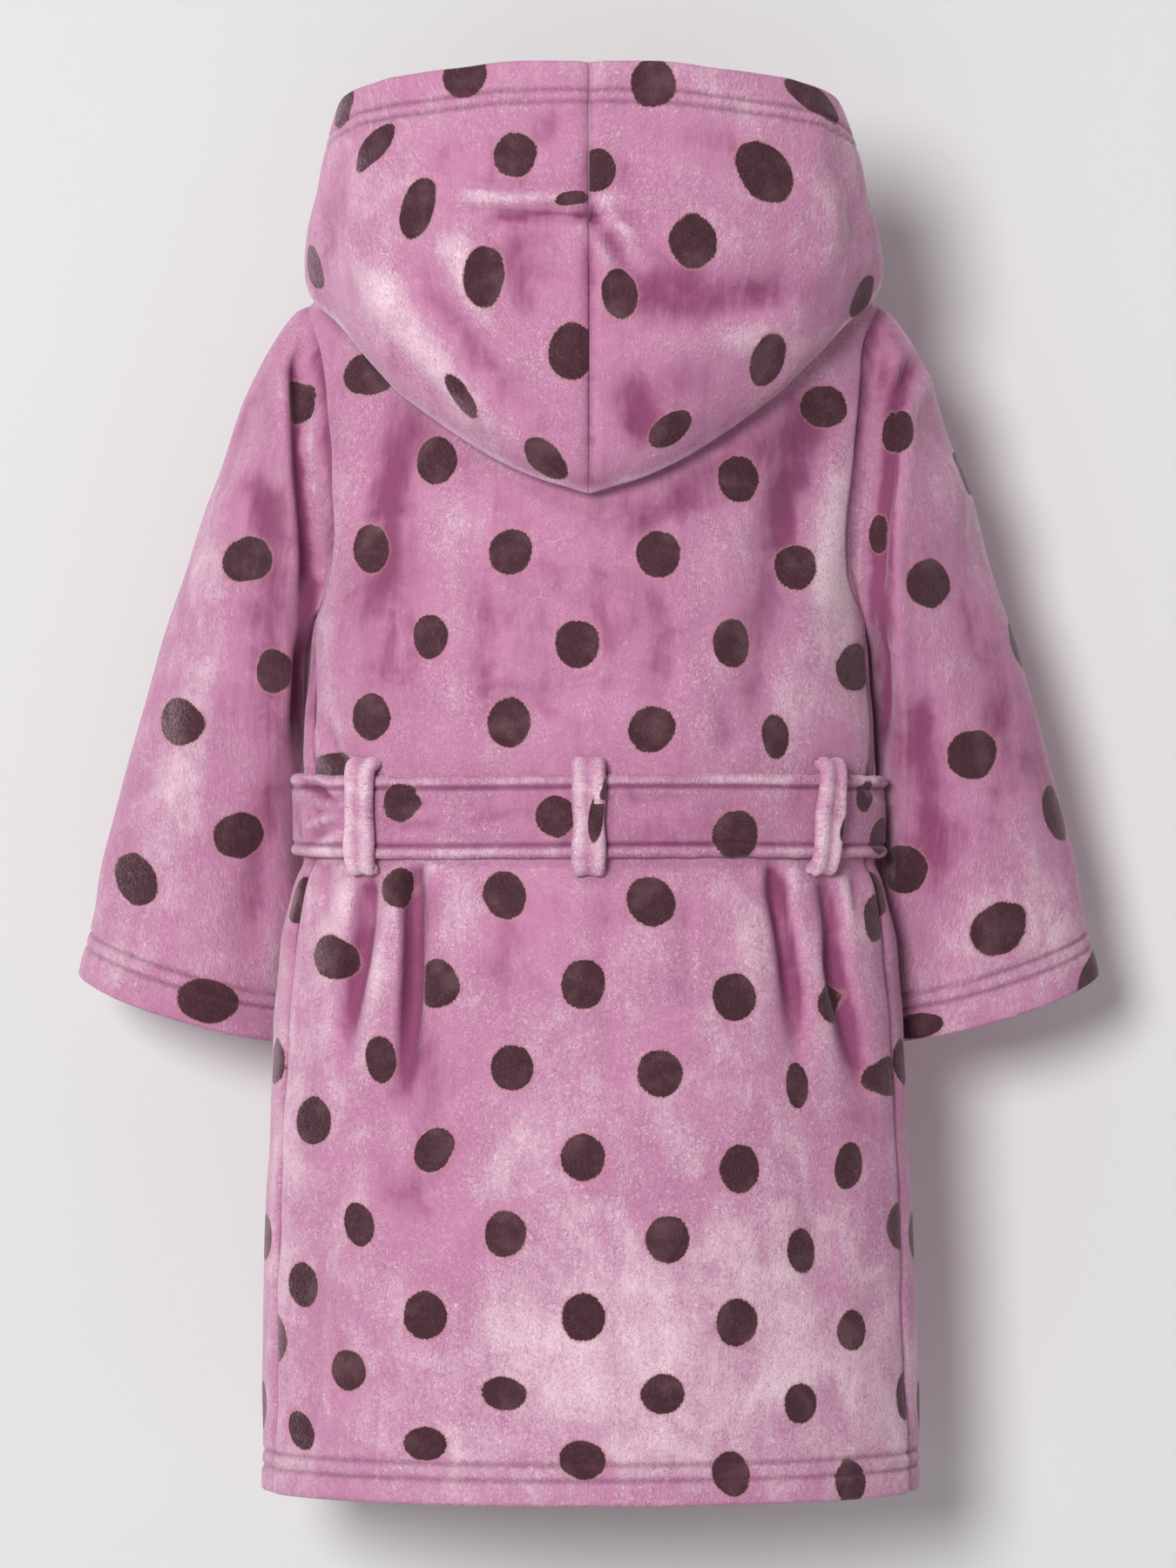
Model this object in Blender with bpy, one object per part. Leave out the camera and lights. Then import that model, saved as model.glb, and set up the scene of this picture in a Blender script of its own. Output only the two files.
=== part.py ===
"""A small child's hooded dressing gown in plush fleece, hollow and filled out as when worn, belt tied.

Metres, +Z up. The wearer faces +Y, so the back of the gown faces -Y, and +X is the wearer's right.
The origin is in the neck opening at the height of the nape, where the wearer's neck and shoulders hold it.

The body is a set of level sections, ellipses whose angle runs from the back centre (0) past the side
(a quarter turn) to the front centre (a half turn). Above its dome base each upright line of the body
turns over the shoulder to the shoulder seam. Its height along the cloth is called rise.
"""

from collections import namedtuple
from math import pi

import bmesh
import bpy
import numpy as np

# Cloth
WALL = 0.003
SEAM_GAP = 0.0004  # between two pieces that are sewn together
ARMHOLE_GAP = 0.0011

# Body
HEM_Z = -0.5875
NECK_HALF_WIDTH = 0.052
NECK_TOP_Z = 0.010
NECK_BACK_DEPTH = 0.80  # how far back the neck opening reaches, as a share of the body's half depth
SHOULDER_HALF_WIDTH = 0.146
SHOULDER_SLOPE = 0.30
SHOULDER_TIP = np.radians(73)
SHOULDER_SEAM_Y = 0.004
DOME_HEIGHT = 0.060
DOME_LENGTH = 0.100  # along the cloth, from the dome's base to the shoulder seam
UNDERARM_RISE = -0.168
BELT_BOTTOM, BELT_TOP = -0.285, -0.242  # between these the body is drawn in under the belt
LOW_CHEST_RISE = -0.200  # above this the rows spread to meet the neck and the shoulders
BACK_COLUMNS, FRONT_COLUMNS = 29, 16
SKIRT_ROWS = 14
SKIRT_ROW_CROWDING = 1.35  # the skirt's rows lie closer together towards the belt
BELT_ROW_GAP = 0.008  # between the belt's edges and the next rows

# The upper front stands over the lower one, full beside the centre front (in radians from it) and
# below the open neck (by rise), with nothing at the other ends.
LAP_LIFT = 0.0038
LAP_ENDS_AT, LAP_FULL_AT = 0.80, 0.45
LAP_TOP_RISE, LAP_FULL_RISE = -0.045, -0.105

Section = namedtuple("Section", "z half_width half_depth")
SECTIONS = [
    Section(-0.640, 0.1590, 0.0945),
    Section(-0.587, 0.1580, 0.0935),
    Section(-0.545, 0.1575, 0.0910),
    Section(-0.485, 0.1565, 0.0895),
    Section(-0.430, 0.1545, 0.0885),
    Section(-0.381, 0.1520, 0.0875),
    Section(-0.345, 0.1495, 0.0860),
    Section(-0.310, 0.1450, 0.0830),
    Section(-0.293, 0.1405, 0.0795),
    Section(-0.285, 0.1372, 0.0772),
    Section(-0.242, 0.1372, 0.0772),
    Section(-0.234, 0.1380, 0.0790),
    Section(-0.215, 0.1370, 0.0815),
    Section(-0.171, 0.1325, 0.0815),
    Section(-0.125, 0.1300, 0.0790),
    Section(-0.090, 0.1310, 0.0755),
    Section(-0.045, 0.1370, 0.0710),
    Section(0.000, 0.1450, 0.0700),
    Section(0.040, 0.1460, 0.0700),
]

# Where the body's panels end: along the side seam and, above the underarm, beside the armhole.
SideSeam = namedtuple("SideSeam", "rise angle")
SIDE_SEAM = [SideSeam(-0.5875, 74), SideSeam(-0.350, 74), SideSeam(-0.240, 78), SideSeam(-0.168, 84)]
Armhole = namedtuple("Armhole", "rise back_angle front_angle")
ARMHOLE = [
    Armhole(-0.168, 84, 84),
    Armhole(-0.164, 79, 91),
    Armhole(-0.150, 74, 99),
    Armhole(-0.125, 71, 106),
    Armhole(-0.090, 70, 110),
    Armhole(-0.045, 71, 109),
    Armhole(0.0237, 73, 107),
]
ARMHOLE_STEPS = 10  # from the underarm to the shoulder tip, on the panels and on the sleeve alike

# The edge of each front, measured across from the centre front, towards its own side.
FrontEdge = namedtuple("FrontEdge", "rise across")
FRONT_EDGES = [
    FrontEdge(-0.5875, -0.052),
    FrontEdge(-0.300, -0.052),
    FrontEdge(-0.235, -0.046),
    FrontEdge(-0.180, -0.026),
    FrontEdge(-0.120, 0.002),
    FrontEdge(-0.050, 0.029),
    FrontEdge(0.000, 0.044),
    FrontEdge(0.050, 0.052),
]

# Troughs that run up and down the cloth, with low ridges beside them. Angles are from the back centre.
RIDGE_SHARE = 0.3  # of the trough's depth
RIDGE_AT = 1.9  # from the trough's middle, in its half angles
FOLD_RUNS_IN = (0.006, -0.010)  # beside its top, where a fold starts and where it has its whole depth
FOLD_RUNS_OUT = 0.35  # the share of its length after which it fades
Fold = namedtuple("Fold", "top_angle bottom_angle top bottom depth half_angle")
FOLDS = [
    Fold(-34, -35, -0.292, -0.415, 0.0070, 4.6),
    Fold(-46, -51, -0.294, -0.395, 0.0045, 4.6),
    Fold(38, 43, -0.292, -0.400, 0.0065, 4.6),
    Fold(50, 60, -0.294, -0.430, 0.0045, 5.0),
    Fold(56, 36, -0.060, -0.236, 0.0030, 8.0),
    Fold(-41, -52, -0.060, -0.190, 0.0025, 8.0),
    Fold(112, 106, -0.292, -0.420, 0.0040, 6.0),
    Fold(-110, -104, -0.292, -0.430, 0.0045, 6.0),
    Fold(139, 135, -0.292, -0.400, 0.0060, 6.0),
    Fold(-141, -136, -0.292, -0.380, 0.0060, 6.0),
    Fold(122, 134, -0.090, -0.236, 0.0030, 8.0),
    Fold(-124, -136, -0.080, -0.236, 0.0030, 8.0),
]

# Sleeve: its outer and inner lines as seen from behind, how far forward its middle is, and half its depth.
Sleeve = namedtuple("Sleeve", "along outer_x outer_z inner_x inner_z middle_y half_depth")
SLEEVE = [
    Sleeve(0.00, 0.1410, -0.018, 0.1330, -0.168, 0.002, 0.030),
    Sleeve(0.10, 0.1560, -0.041, 0.1350, -0.187, 0.010, 0.038),
    Sleeve(0.25, 0.1755, -0.087, 0.1365, -0.216, 0.020, 0.041),
    Sleeve(0.45, 0.1975, -0.149, 0.1405, -0.256, 0.031, 0.042),
    Sleeve(0.65, 0.2170, -0.211, 0.1400, -0.296, 0.038, 0.041),
    Sleeve(0.85, 0.2375, -0.287, 0.1385, -0.337, 0.043, 0.039),
    Sleeve(1.00, 0.2490, -0.3415, 0.1380, -0.372, 0.047, 0.038),
]
SLEEVE_BLEND = 0.10  # the share of the sleeve over which it turns from the armhole's shape to its own
SLEEVE_ROWS = 15
SLEEVE_ROW_CROWDING = 1.6  # the sleeve's rows lie closer together towards the armhole
CUFF_BOW = 0.20  # how far the cuff dips behind and rises in front, as a share of its half depth
CUFF_BOW_FROM = 0.5
GROOVE_DEPTH = 0.011  # where the sleeve folds in beside the armhole
GROOVE_AT = 0.035
GROOVE_SPREAD = 0.030
GROOVE_SIDES = (0.35, 0.75)  # the groove is behind and in front, by the sine of the turn
GROOVE_INWARDS = (0.9, 0.3)  # and runs out towards the outer line, by its cosine

# Hood, one half, from the centre seam (0) to its front end (1): where its lowest fold stands off the body
# (as shares of the shoulder width, and in degrees over the shoulder), and the edge of its opening.
Hood = namedtuple("Hood", "along fold_across fold_turn fold_out edge_x edge_y edge_z belly")
HOOD = [
    Hood(0.00, 0.000, -69, 0.0110, 0.000, -0.1060, 0.0910, 0.036),
    Hood(0.13, 0.222, -51, 0.0110, 0.032, -0.1050, 0.0900, 0.036),
    Hood(0.26, 0.430, -28, 0.0120, 0.064, -0.0995, 0.0865, 0.034),
    Hood(0.45, 0.750, 22, 0.0120, 0.104, -0.0820, 0.0825, 0.030),
    Hood(0.62, 0.900, 62, 0.0180, 0.121, -0.0480, 0.0720, 0.020),
    Hood(0.82, 0.800, 150, 0.0120, 0.106, 0.0170, 0.0290, 0.018),
    Hood(1.00, 0.350, 169, 0.0090, 0.043, 0.0780, -0.0080, 0.008),
]
HOOD_COLUMNS, HOOD_ROWS = 15, 20
HOOD_NECK_TURN = 0.45  # the share of the neck seam that lies behind the shoulder seams
HOOD_FRONT_RISE = -0.022  # how far down the front edges the hood is sewn
HOOD_CLEAR = 0.0010
HOOD_ROLL = 0.007  # how high the cloth arches beside the neck seam
HOOD_ROLL_AT, HOOD_ROLL_SPREAD = 0.18, 0.12  # where, as shares of the way down to the fold
HOOD_FOLD_SHARE = 0.42  # the share of its rows that lie under the fold
HOOD_FOLD_PULL = 0.9  # how far the cloth runs on straight from the fold, in bellies
HOOD_EDGE_LEAN, HOOD_EDGE_DROP = 0.6, 1.7  # and out and down from its edge

# Belt, its loops, its knot and its tails
BELT_Z = -0.2633
BELT_HALF_HEIGHT = 0.0198
BELT_THICKNESS = 0.005
BELT_CLEAR = 0.0006
BELT_STEPS = 56  # round the waist
LOOP_HALF_WIDTH = 0.0077
Loop = namedtuple("Loop", "name top_angle bottom_angle")
LOOPS = [Loop("left", -49, -49), Loop("centre", 0, 0), Loop("right", 54, 51)]
TANGENT_STEP = 0.02  # radians round the waist, to find its direction
LOOP_CLEAR = 0.0006  # over the belt
LOOP_FLAT_CLEAR = 0.0005  # over the body, where it is sewn on
LoopStep = namedtuple("LoopStep", "on_belt lift from_top from_bottom")
# A loop's way over the belt: whether it lies on it, its lift, and its height from one edge of the belt.
LOOP_STEPS = [
    LoopStep(False, 0.0000, 0.0062, None),
    LoopStep(False, 0.0010, 0.0045, None),
    LoopStep(True, -0.0005, 0.0030, None),
    LoopStep(True, 0.0010, -0.0030, None),
    LoopStep(True, 0.0010, None, 0.0030),
    LoopStep(True, -0.0005, None, -0.0030),
    LoopStep(False, 0.0010, None, -0.0050),
    LoopStep(False, 0.0000, None, -0.0068),
]
BeltCorner = namedtuple("BeltCorner", "depth height")
BELT_CORNERS = [  # its section, as shares of its thickness and of its half height
    BeltCorner(0.00, -0.93),
    BeltCorner(0.00, 0.93),
    BeltCorner(0.35, 1.00),
    BeltCorner(1.00, 0.86),
    BeltCorner(1.00, -0.86),
    BeltCorner(0.35, -1.00),
]
KNOT_HALF = (0.0235, 0.0125, 0.0235)
KNOT_ROWS, KNOT_COLUMNS = 11, 16
KNOT_CLEAR = 0.0012  # in front of the belt
KNOT_REACH = 0.94  # its flat ends, as shares of its half height
KNOT_ROUNDING = (3.2, 0.4)  # the powers that round it off towards its ends
KNOT_BAND = 0.16  # how far the band across it stands out, as a share
KNOT_BAND_SLANT, KNOT_BAND_SPREAD = 0.35, 0.28
Tail = namedtuple("Tail", "name side length spread")
TAILS = [Tail("left", -1, 0.262, 0.030), Tail("right", 1, 0.284, 0.024)]
TAIL_HALF_WIDTH = 0.0195
TAIL_NECK_SHARE = 0.55  # how much of its width a tail has where it leaves the knot
TAIL_WIDENS_OVER = 0.25  # the share of its length over which it widens
TAIL_THICKNESS = 0.0045
TAIL_ROWS = 13
TAIL_START_X = 0.0110
TAIL_SPREADS_AS = 0.8  # the power of its length by which it moves to its side
TAIL_TILT = 0.04
TAIL_BELOW_KNOT = 0.0011
TAIL_FROM_SKIRT = 0.007
TAIL_LEAN = 0.004  # towards the skirt, over its length
TAIL_WAVE, TAIL_WAVES = 0.003, 7.0  # how far it sways out and in, and how often
TAIL_TURN = 0.18  # how much its face turns to its own side

PINK = (0.62, 0.24, 0.46)


def spline(table, key, column):
    """A smooth curve through one column of a table, as a function of another, that never overshoots a row."""
    xs = np.array([getattr(row, key) for row in table], float)
    ys = np.array([getattr(row, column) for row in table], float)
    steps = np.diff(xs)
    climbs = np.diff(ys) / steps
    slopes = np.empty(len(xs))
    slopes[0], slopes[-1] = climbs[0], climbs[-1]
    before, after = climbs[:-1], climbs[1:]
    same_way = before * after > 0
    slopes[1:-1] = np.where(same_way, 2 * before * after / np.where(same_way, before + after, 1), 0)

    def value(x):
        x = np.clip(x, xs[0], xs[-1])
        i = np.clip(np.searchsorted(xs, x, side="right") - 1, 0, len(steps) - 1)
        t = (x - xs[i]) / steps[i]
        start = ys[i] + slopes[i] * steps[i] * t * (1 - t)
        end = ys[i + 1] - slopes[i + 1] * steps[i] * t * (1 - t)
        ease = t * t * (3 - 2 * t)
        return start * (1 - ease) + end * ease

    return value


def smoothstep(low, high, x):
    t = np.clip((x - low) / (high - low), 0, 1)
    return t * t * (3 - 2 * t)


def stack(x, y, z):
    return np.stack(np.broadcast_arrays(x, y, z), axis=-1)


half_width = spline(SECTIONS, "z", "half_width")
half_depth = spline(SECTIONS, "z", "half_depth")
side_seam_angle = spline(SIDE_SEAM, "rise", "angle")
front_edge_across = spline(FRONT_EDGES, "rise", "across")


def dome_base(angle):
    shoulder_x = SHOULDER_HALF_WIDTH * np.abs(np.sin(angle))
    return NECK_TOP_Z - SHOULDER_SLOPE * (shoulder_x - NECK_HALF_WIDTH) - DOME_HEIGHT


def fold_depth(angle, z):
    """How far the cloth lies inside its plain section, from the troughs and their ridges."""
    total = np.zeros(np.broadcast(angle, z).shape)
    degrees = (np.degrees(angle) + 180) % 360 - 180
    for fold in FOLDS:
        down = np.clip((fold.top - z) / (fold.top - fold.bottom), 0, 1)
        middle = fold.top_angle + down * (fold.bottom_angle - fold.top_angle)
        across = (degrees - middle) / fold.half_angle
        fade = smoothstep(fold.top + FOLD_RUNS_IN[0], fold.top + FOLD_RUNS_IN[1], z)
        fade *= 1 - smoothstep(FOLD_RUNS_OUT, 1.0, down)
        ridges = RIDGE_SHARE * np.exp(-((np.abs(across) - RIDGE_AT) ** 2))
        total += fold.depth * fade * (np.exp(-(across**2)) - ridges)
    return total


def body(angle, rise, out=0.0):
    """A point of the body's outer face. A positive angle is towards +X."""
    base = dome_base(angle)
    turn = np.clip((rise - base) / DOME_LENGTH, 0, 1) * pi / 2
    z = np.where(rise < base, rise, base + DOME_HEIGHT * np.sin(turn))
    a = half_width(z)
    b = half_depth(z)
    normal_x = np.sin(angle) / a
    normal_y = -np.cos(angle) / b
    length = np.hypot(normal_x, normal_y)
    push = (out - fold_depth(angle, z)) / length
    x = a * np.sin(angle) + normal_x * push * np.cos(turn)
    y = (normal_y * push - b * np.cos(angle)) * np.cos(turn) + SHOULDER_SEAM_Y * (1 - np.cos(turn))
    return stack(x, y, z + out * np.sin(turn))


def top_rise(angle):
    """How far up the cloth of the back goes: to the shoulder seam, or to the neck edge."""
    neck_angle = np.arcsin(NECK_HALF_WIDTH / SHOULDER_HALF_WIDTH)
    inside = np.clip(1 - (angle / neck_angle) ** 2, 0, 1)
    turn = np.arccos(NECK_BACK_DEPTH * np.sqrt(inside))
    return dome_base(angle) + DOME_LENGTH * turn / (pi / 2)


def armhole_rise(turn):
    """The rise of the armhole's edge, from the shoulder tip (0) to the underarm (pi)."""
    return UNDERARM_RISE + (top_rise(SHOULDER_TIP) - UNDERARM_RISE) * (1 + np.cos(turn)) / 2


def body_rows():
    """Heights of the rows along the side edge: closer where the belt draws the cloth in and at the armhole."""
    climb = 1 - (1 - np.linspace(0, 1, SKIRT_ROWS)) ** SKIRT_ROW_CROWDING
    skirt = HEM_Z + (BELT_BOTTOM - BELT_ROW_GAP - HEM_Z) * climb
    between = (BELT_TOP + LOW_CHEST_RISE) / 2
    waist = [BELT_BOTTOM, BELT_TOP, BELT_TOP + BELT_ROW_GAP, between, LOW_CHEST_RISE]
    return np.concatenate([skirt, waist, armhole_rise(np.linspace(pi, 0, ARMHOLE_STEPS + 1))])


def spread(row, top):
    """The rise of a row in a column of cloth that ends at the given top."""
    tip_rise = top_rise(SHOULDER_TIP)
    return row + (top - tip_rise) * np.clip((row - LOW_CHEST_RISE) / (tip_rise - LOW_CHEST_RISE), 0, 1)


def side_angle(rise, panel):
    """The angle at which the back or the front ends."""
    beside_armhole = spline(ARMHOLE, "rise", f"{panel}_angle")(rise)
    return np.radians(np.where(rise < UNDERARM_RISE, side_seam_angle(rise), beside_armhole))


def unit(vectors):
    return vectors / np.linalg.norm(vectors, axis=-1, keepdims=True)


def normals(points, ring=False):
    """Unit normals of a grid of points, whose columns may close into rings."""
    down = np.gradient(points, axis=0)
    if ring:
        across = np.roll(points, -1, axis=1) - np.roll(points, 1, axis=1)
    else:
        across = np.gradient(points, axis=1)
    return unit(np.cross(across, down))


def material(name, colour):
    found = bpy.data.materials.new(name)
    found.use_nodes = True
    shader = found.node_tree.nodes["Principled BSDF"]
    shader.inputs["Base Color"].default_value = (*colour, 1)
    shader.inputs["Roughness"].default_value = 0.9
    shader.inputs["Metallic"].default_value = 0.0
    return found


def add_solid(name, points, faces):
    """An object from points and faces, with its faces turned outwards."""
    mesh = bmesh.new()
    corners = [mesh.verts.new(point) for point in points]
    for face in faces:
        mesh.faces.new([corners[i] for i in face])
    bmesh.ops.recalc_face_normals(mesh, faces=mesh.faces)
    data = bpy.data.meshes.new(name)
    mesh.to_mesh(data)
    mesh.free()
    if sum(polygon.center.dot(polygon.normal) * polygon.area for polygon in data.polygons) < 0:
        data.flip_normals()
    data.shade_smooth()
    data.set_sharp_from_angle(angle=np.radians(50))
    data.materials.append(material(name, PINK))
    obj = bpy.data.objects.new(name, data)
    bpy.context.scene.collection.objects.link(obj)
    return obj


def add_shell(name, outer, inner, ring=False):
    """A wall between two grids of points. A ring closes its columns; other edges get a rim."""
    rows, columns = outer.shape[:2]
    points = np.concatenate([outer.reshape(-1, 3), inner.reshape(-1, 3)])
    steps = columns if ring else columns - 1
    shift = rows * columns

    def at(row, column):
        return row * columns + column % columns

    faces = []
    for row in range(rows - 1):
        for column in range(steps):
            face = [at(row, column), at(row, column + 1), at(row + 1, column + 1), at(row + 1, column)]
            faces.append(face)
            faces.append([i + shift for i in reversed(face)])
    for column in range(steps):
        for row in (0, rows - 1):
            start, end = at(row, column), at(row, column + 1)
            faces.append([start, end, end + shift, start + shift])
    if not ring:
        for row in range(rows - 1):
            for column in (0, columns - 1):
                start, end = at(row, column), at(row + 1, column)
                faces.append([start, end, end + shift, start + shift])
    return add_solid(name, points, faces)


def add_loft(name, rings, closed=False):
    """A solid through rings of points. It closes on itself, or has a flat face on each end."""
    count, around = rings.shape[:2]
    faces = []
    for i in range(count if closed else count - 1):
        for j in range(around):
            face = [(i, j), (i, j + 1), (i + 1, j + 1), (i + 1, j)]
            faces.append([a % count * around + b % around for a, b in face])
    if not closed:
        faces.append(list(range(around)))
        faces.append([(count - 1) * around + j for j in range(around)])
    return add_solid(name, rings.reshape(-1, 3), faces)


def lap_lift(angle, rise):
    """The upper front stands over the lower one from beside the centre front on, below the open neck."""
    from_front = pi - angle
    below_neck = smoothstep(LAP_TOP_RISE, LAP_FULL_RISE, rise)
    return LAP_LIFT * smoothstep(LAP_ENDS_AT, LAP_FULL_AT, from_front) * below_neck


def make_back():
    across, row = np.meshgrid(np.linspace(-1, 1, BACK_COLUMNS), body_rows())
    angle = across * (side_angle(row, "back") - SEAM_GAP / half_depth(0))
    rise = spread(row, top_rise(across * SHOULDER_TIP) - SEAM_GAP)
    add_shell("back", body(angle, rise), body(angle, rise, -WALL))


def front_grid(columns):
    """Angles and rises of a front, from its edge to its side, for the +X side."""
    across, row = np.meshgrid(np.linspace(0, 1, columns), body_rows())
    neck_angle = pi - np.arcsin(NECK_HALF_WIDTH / SHOULDER_HALF_WIDTH)
    edge_rise = spread(row, dome_base(neck_angle) + DOME_LENGTH)
    edge = pi - np.arcsin(front_edge_across(edge_rise) / half_width(edge_rise))
    side = side_angle(row, "front") + SEAM_GAP / half_depth(0)
    top_angle = neck_angle + (pi - SHOULDER_TIP - neck_angle) * across
    top = dome_base(top_angle) + DOME_LENGTH - SEAM_GAP
    return edge + (side - edge) * across, spread(row, top)


def make_front(name, side):
    angle, rise = front_grid(FRONT_COLUMNS)
    lift = lap_lift(angle, rise) if side > 0 else 0.0
    add_shell(name, body(side * angle, rise, lift), body(side * angle, rise, lift - WALL))


def armhole(turn):
    """The armhole's edge, from the shoulder tip (0) by the back to the underarm (pi) and by the front."""
    rise = armhole_rise(turn)
    beside = ARMHOLE_GAP / half_depth(0) * np.sin(turn)
    angle = np.where(np.sin(turn) >= 0, side_angle(rise, "back"), side_angle(rise, "front")) + beside
    return angle, rise - ARMHOLE_GAP * np.cos(turn)


def sleeve_surface(turn, along):
    """The sleeve on the +X side. Its turn is 0 at the outer line, then back, inner line and front."""
    outer = stack(spline(SLEEVE, "along", "outer_x")(along), 0, spline(SLEEVE, "along", "outer_z")(along))
    inner = stack(spline(SLEEVE, "along", "inner_x")(along), 0, spline(SLEEVE, "along", "inner_z")(along))
    depth = spline(SLEEVE, "along", "half_depth")(along)
    middle = (outer + inner) / 2 + stack(0, spline(SLEEVE, "along", "middle_y")(along), 0)
    bow = CUFF_BOW * smoothstep(CUFF_BOW_FROM, 1, along)
    ring = middle + (outer - inner) / 2 * np.cos(turn)[..., None]
    ring = ring + stack(0, -depth * np.sin(turn), -depth * bow * np.sin(turn))
    own = smoothstep(0, SLEEVE_BLEND, along)[..., None]
    points = body(*armhole(turn)) * (1 - own) + ring * own
    where = smoothstep(*GROOVE_SIDES, np.abs(np.sin(turn))) * smoothstep(*GROOVE_INWARDS, np.cos(turn))
    profile = np.exp(-(((along - GROOVE_AT) / GROOVE_SPREAD) ** 2)) * smoothstep(0, GROOVE_AT / 2, along)
    points[..., 1] += GROOVE_DEPTH * where * profile * np.sign(np.sin(turn))
    return points


def make_sleeve(name, side):
    turns = np.linspace(0, 2 * pi, 2 * ARMHOLE_STEPS, endpoint=False)
    turn, along = np.meshgrid(turns, np.linspace(0, 1, SLEEVE_ROWS) ** SLEEVE_ROW_CROWDING)
    outer = sleeve_surface(turn, along)
    beside_body = body(*armhole(turn), -WALL) - body(*armhole(turn))
    own = smoothstep(0, SLEEVE_BLEND, along)[..., None]
    inner = outer + WALL * unit(beside_body * (1 - own) / WALL - normals(outer, ring=True) * own)
    mirror = np.array([side, 1, 1])
    add_shell(name, outer * mirror, inner * mirror, ring=True)


def over_shoulder(across, turn, out):
    """A point off the body by its share of the shoulder width and its degrees over the shoulder.

    The turn is 0 at the dome's base behind, 90 at the shoulder seam and 180 at the dome's base in front.
    """
    behind = turn <= 90
    angle = np.where(behind, np.arcsin(across), pi - np.arcsin(across))
    return body(angle, dome_base(angle) + DOME_LENGTH * np.where(behind, turn, 180 - turn) / 90, out)


def neck_seam(along):
    """Where the hood is sewn on, as across and turn: the back's neck edge, then the front's edge."""
    neck_angle = np.arcsin(NECK_HALF_WIDTH / SHOULDER_HALF_WIDTH)
    back_angle = neck_angle * np.sin(np.clip(along / HOOD_NECK_TURN, 0, 1) * pi / 2)
    back_turn = 90 * (top_rise(back_angle) - dome_base(back_angle)) / DOME_LENGTH
    before = np.clip((along - HOOD_NECK_TURN) / (1 - HOOD_NECK_TURN), 0, 1)
    neck_rise = top_rise(neck_angle)
    rise = neck_rise + (HOOD_FRONT_RISE - neck_rise) * before
    across = front_edge_across(rise) / half_width(rise)
    front_turn = 180 - 90 * (rise - dome_base(np.arcsin(across))) / DOME_LENGTH
    behind = along < HOOD_NECK_TURN
    return np.where(behind, np.sin(back_angle), across), np.where(behind, back_turn, front_turn)


def bezier(a, b, c, d, t):
    t = t[..., None]
    return a * (1 - t) ** 3 + 3 * b * t * (1 - t) ** 2 + 3 * c * t**2 * (1 - t) + d * t**3


def hood_surface(along, over):
    """The hood on the +X side: from the neck seam (over = 0) down to its fold and up to its edge (over = 1)."""

    def column(name):
        return spline(HOOD, "along", name)(along)

    across, turn = neck_seam(along)
    down = np.clip(over / HOOD_FOLD_SHARE, 0, 1)
    ease = np.sin(down * pi / 2)
    across = across + (column("fold_across") - across) * ease
    turn = turn + (column("fold_turn") - turn) * ease
    roll = np.exp(-(((down - HOOD_ROLL_AT) / HOOD_ROLL_SPREAD) ** 2))
    stand = HOOD_CLEAR + HOOD_ROLL * roll * smoothstep(0, HOOD_ROLL_AT / 2, down)
    stand = stand + column("fold_out") * (1 - np.cos(down * pi / 2))
    under = over_shoulder(across, turn, stand)

    out = HOOD_CLEAR + column("fold_out")
    fold = over_shoulder(column("fold_across"), column("fold_turn"), out)
    away = unit(over_shoulder(column("fold_across"), column("fold_turn"), 2 * out) - fold)
    edge = stack(column("edge_x"), column("edge_y"), column("edge_z"))
    belly = column("belly")[..., None]
    level = unit(stack(column("edge_x"), column("edge_y"), 0 * along))
    below_edge = edge + (level * HOOD_EDGE_LEAN - np.array([0, 0, HOOD_EDGE_DROP])) * belly
    up = np.clip((over - HOOD_FOLD_SHARE) / (1 - HOOD_FOLD_SHARE), 0, 1)
    outer = bezier(fold, fold + away * belly * HOOD_FOLD_PULL, below_edge, edge, up)
    return np.where((over < HOOD_FOLD_SHARE)[..., None], under, outer)


def make_hood(name, side):
    along, over = np.meshgrid(np.linspace(0, 1, HOOD_COLUMNS), np.linspace(0, 1, HOOD_ROWS))
    outer = hood_surface(along, over)
    inner = outer - WALL * normals(outer)
    for points in (outer, inner):
        points[:, 0, 0] = SEAM_GAP / 2
    mirror = np.array([side, 1, 1])
    add_shell(name, outer * mirror, inner * mirror)


def waist_point(angle, out, z):
    """A point that stands off the body near the belt, where the upper front adds its thickness."""
    lift = LAP_LIFT * smoothstep(LAP_ENDS_AT, LAP_FULL_AT, pi - np.abs(angle))
    return body(angle, z, lift + out)


def make_belt():
    around = np.linspace(-pi, pi, BELT_STEPS, endpoint=False)[:, None]
    outs = np.array([BELT_CLEAR + BELT_THICKNESS * corner.depth for corner in BELT_CORNERS])
    rings = waist_point(around, outs[None, :], BELT_Z)
    rings[..., 2] = [BELT_Z + BELT_HALF_HEIGHT * corner.height for corner in BELT_CORNERS]
    add_loft("belt", rings, closed=True)


def strip_rings(middles, across, out, half_widths, thickness):
    """Rectangular sections of a flat strip along its middle points."""
    sideways = across * half_widths[:, None]
    outwards = out * thickness / 2
    corners = [(-1, -1), (-1, 1), (1, 1), (1, -1)]
    return np.stack([middles + sideways * side + outwards * depth for side, depth in corners], axis=1)


def loop_height(step):
    if step.from_top is None:
        return step.from_bottom - BELT_HALF_HEIGHT
    return BELT_HALF_HEIGHT + step.from_top


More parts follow.
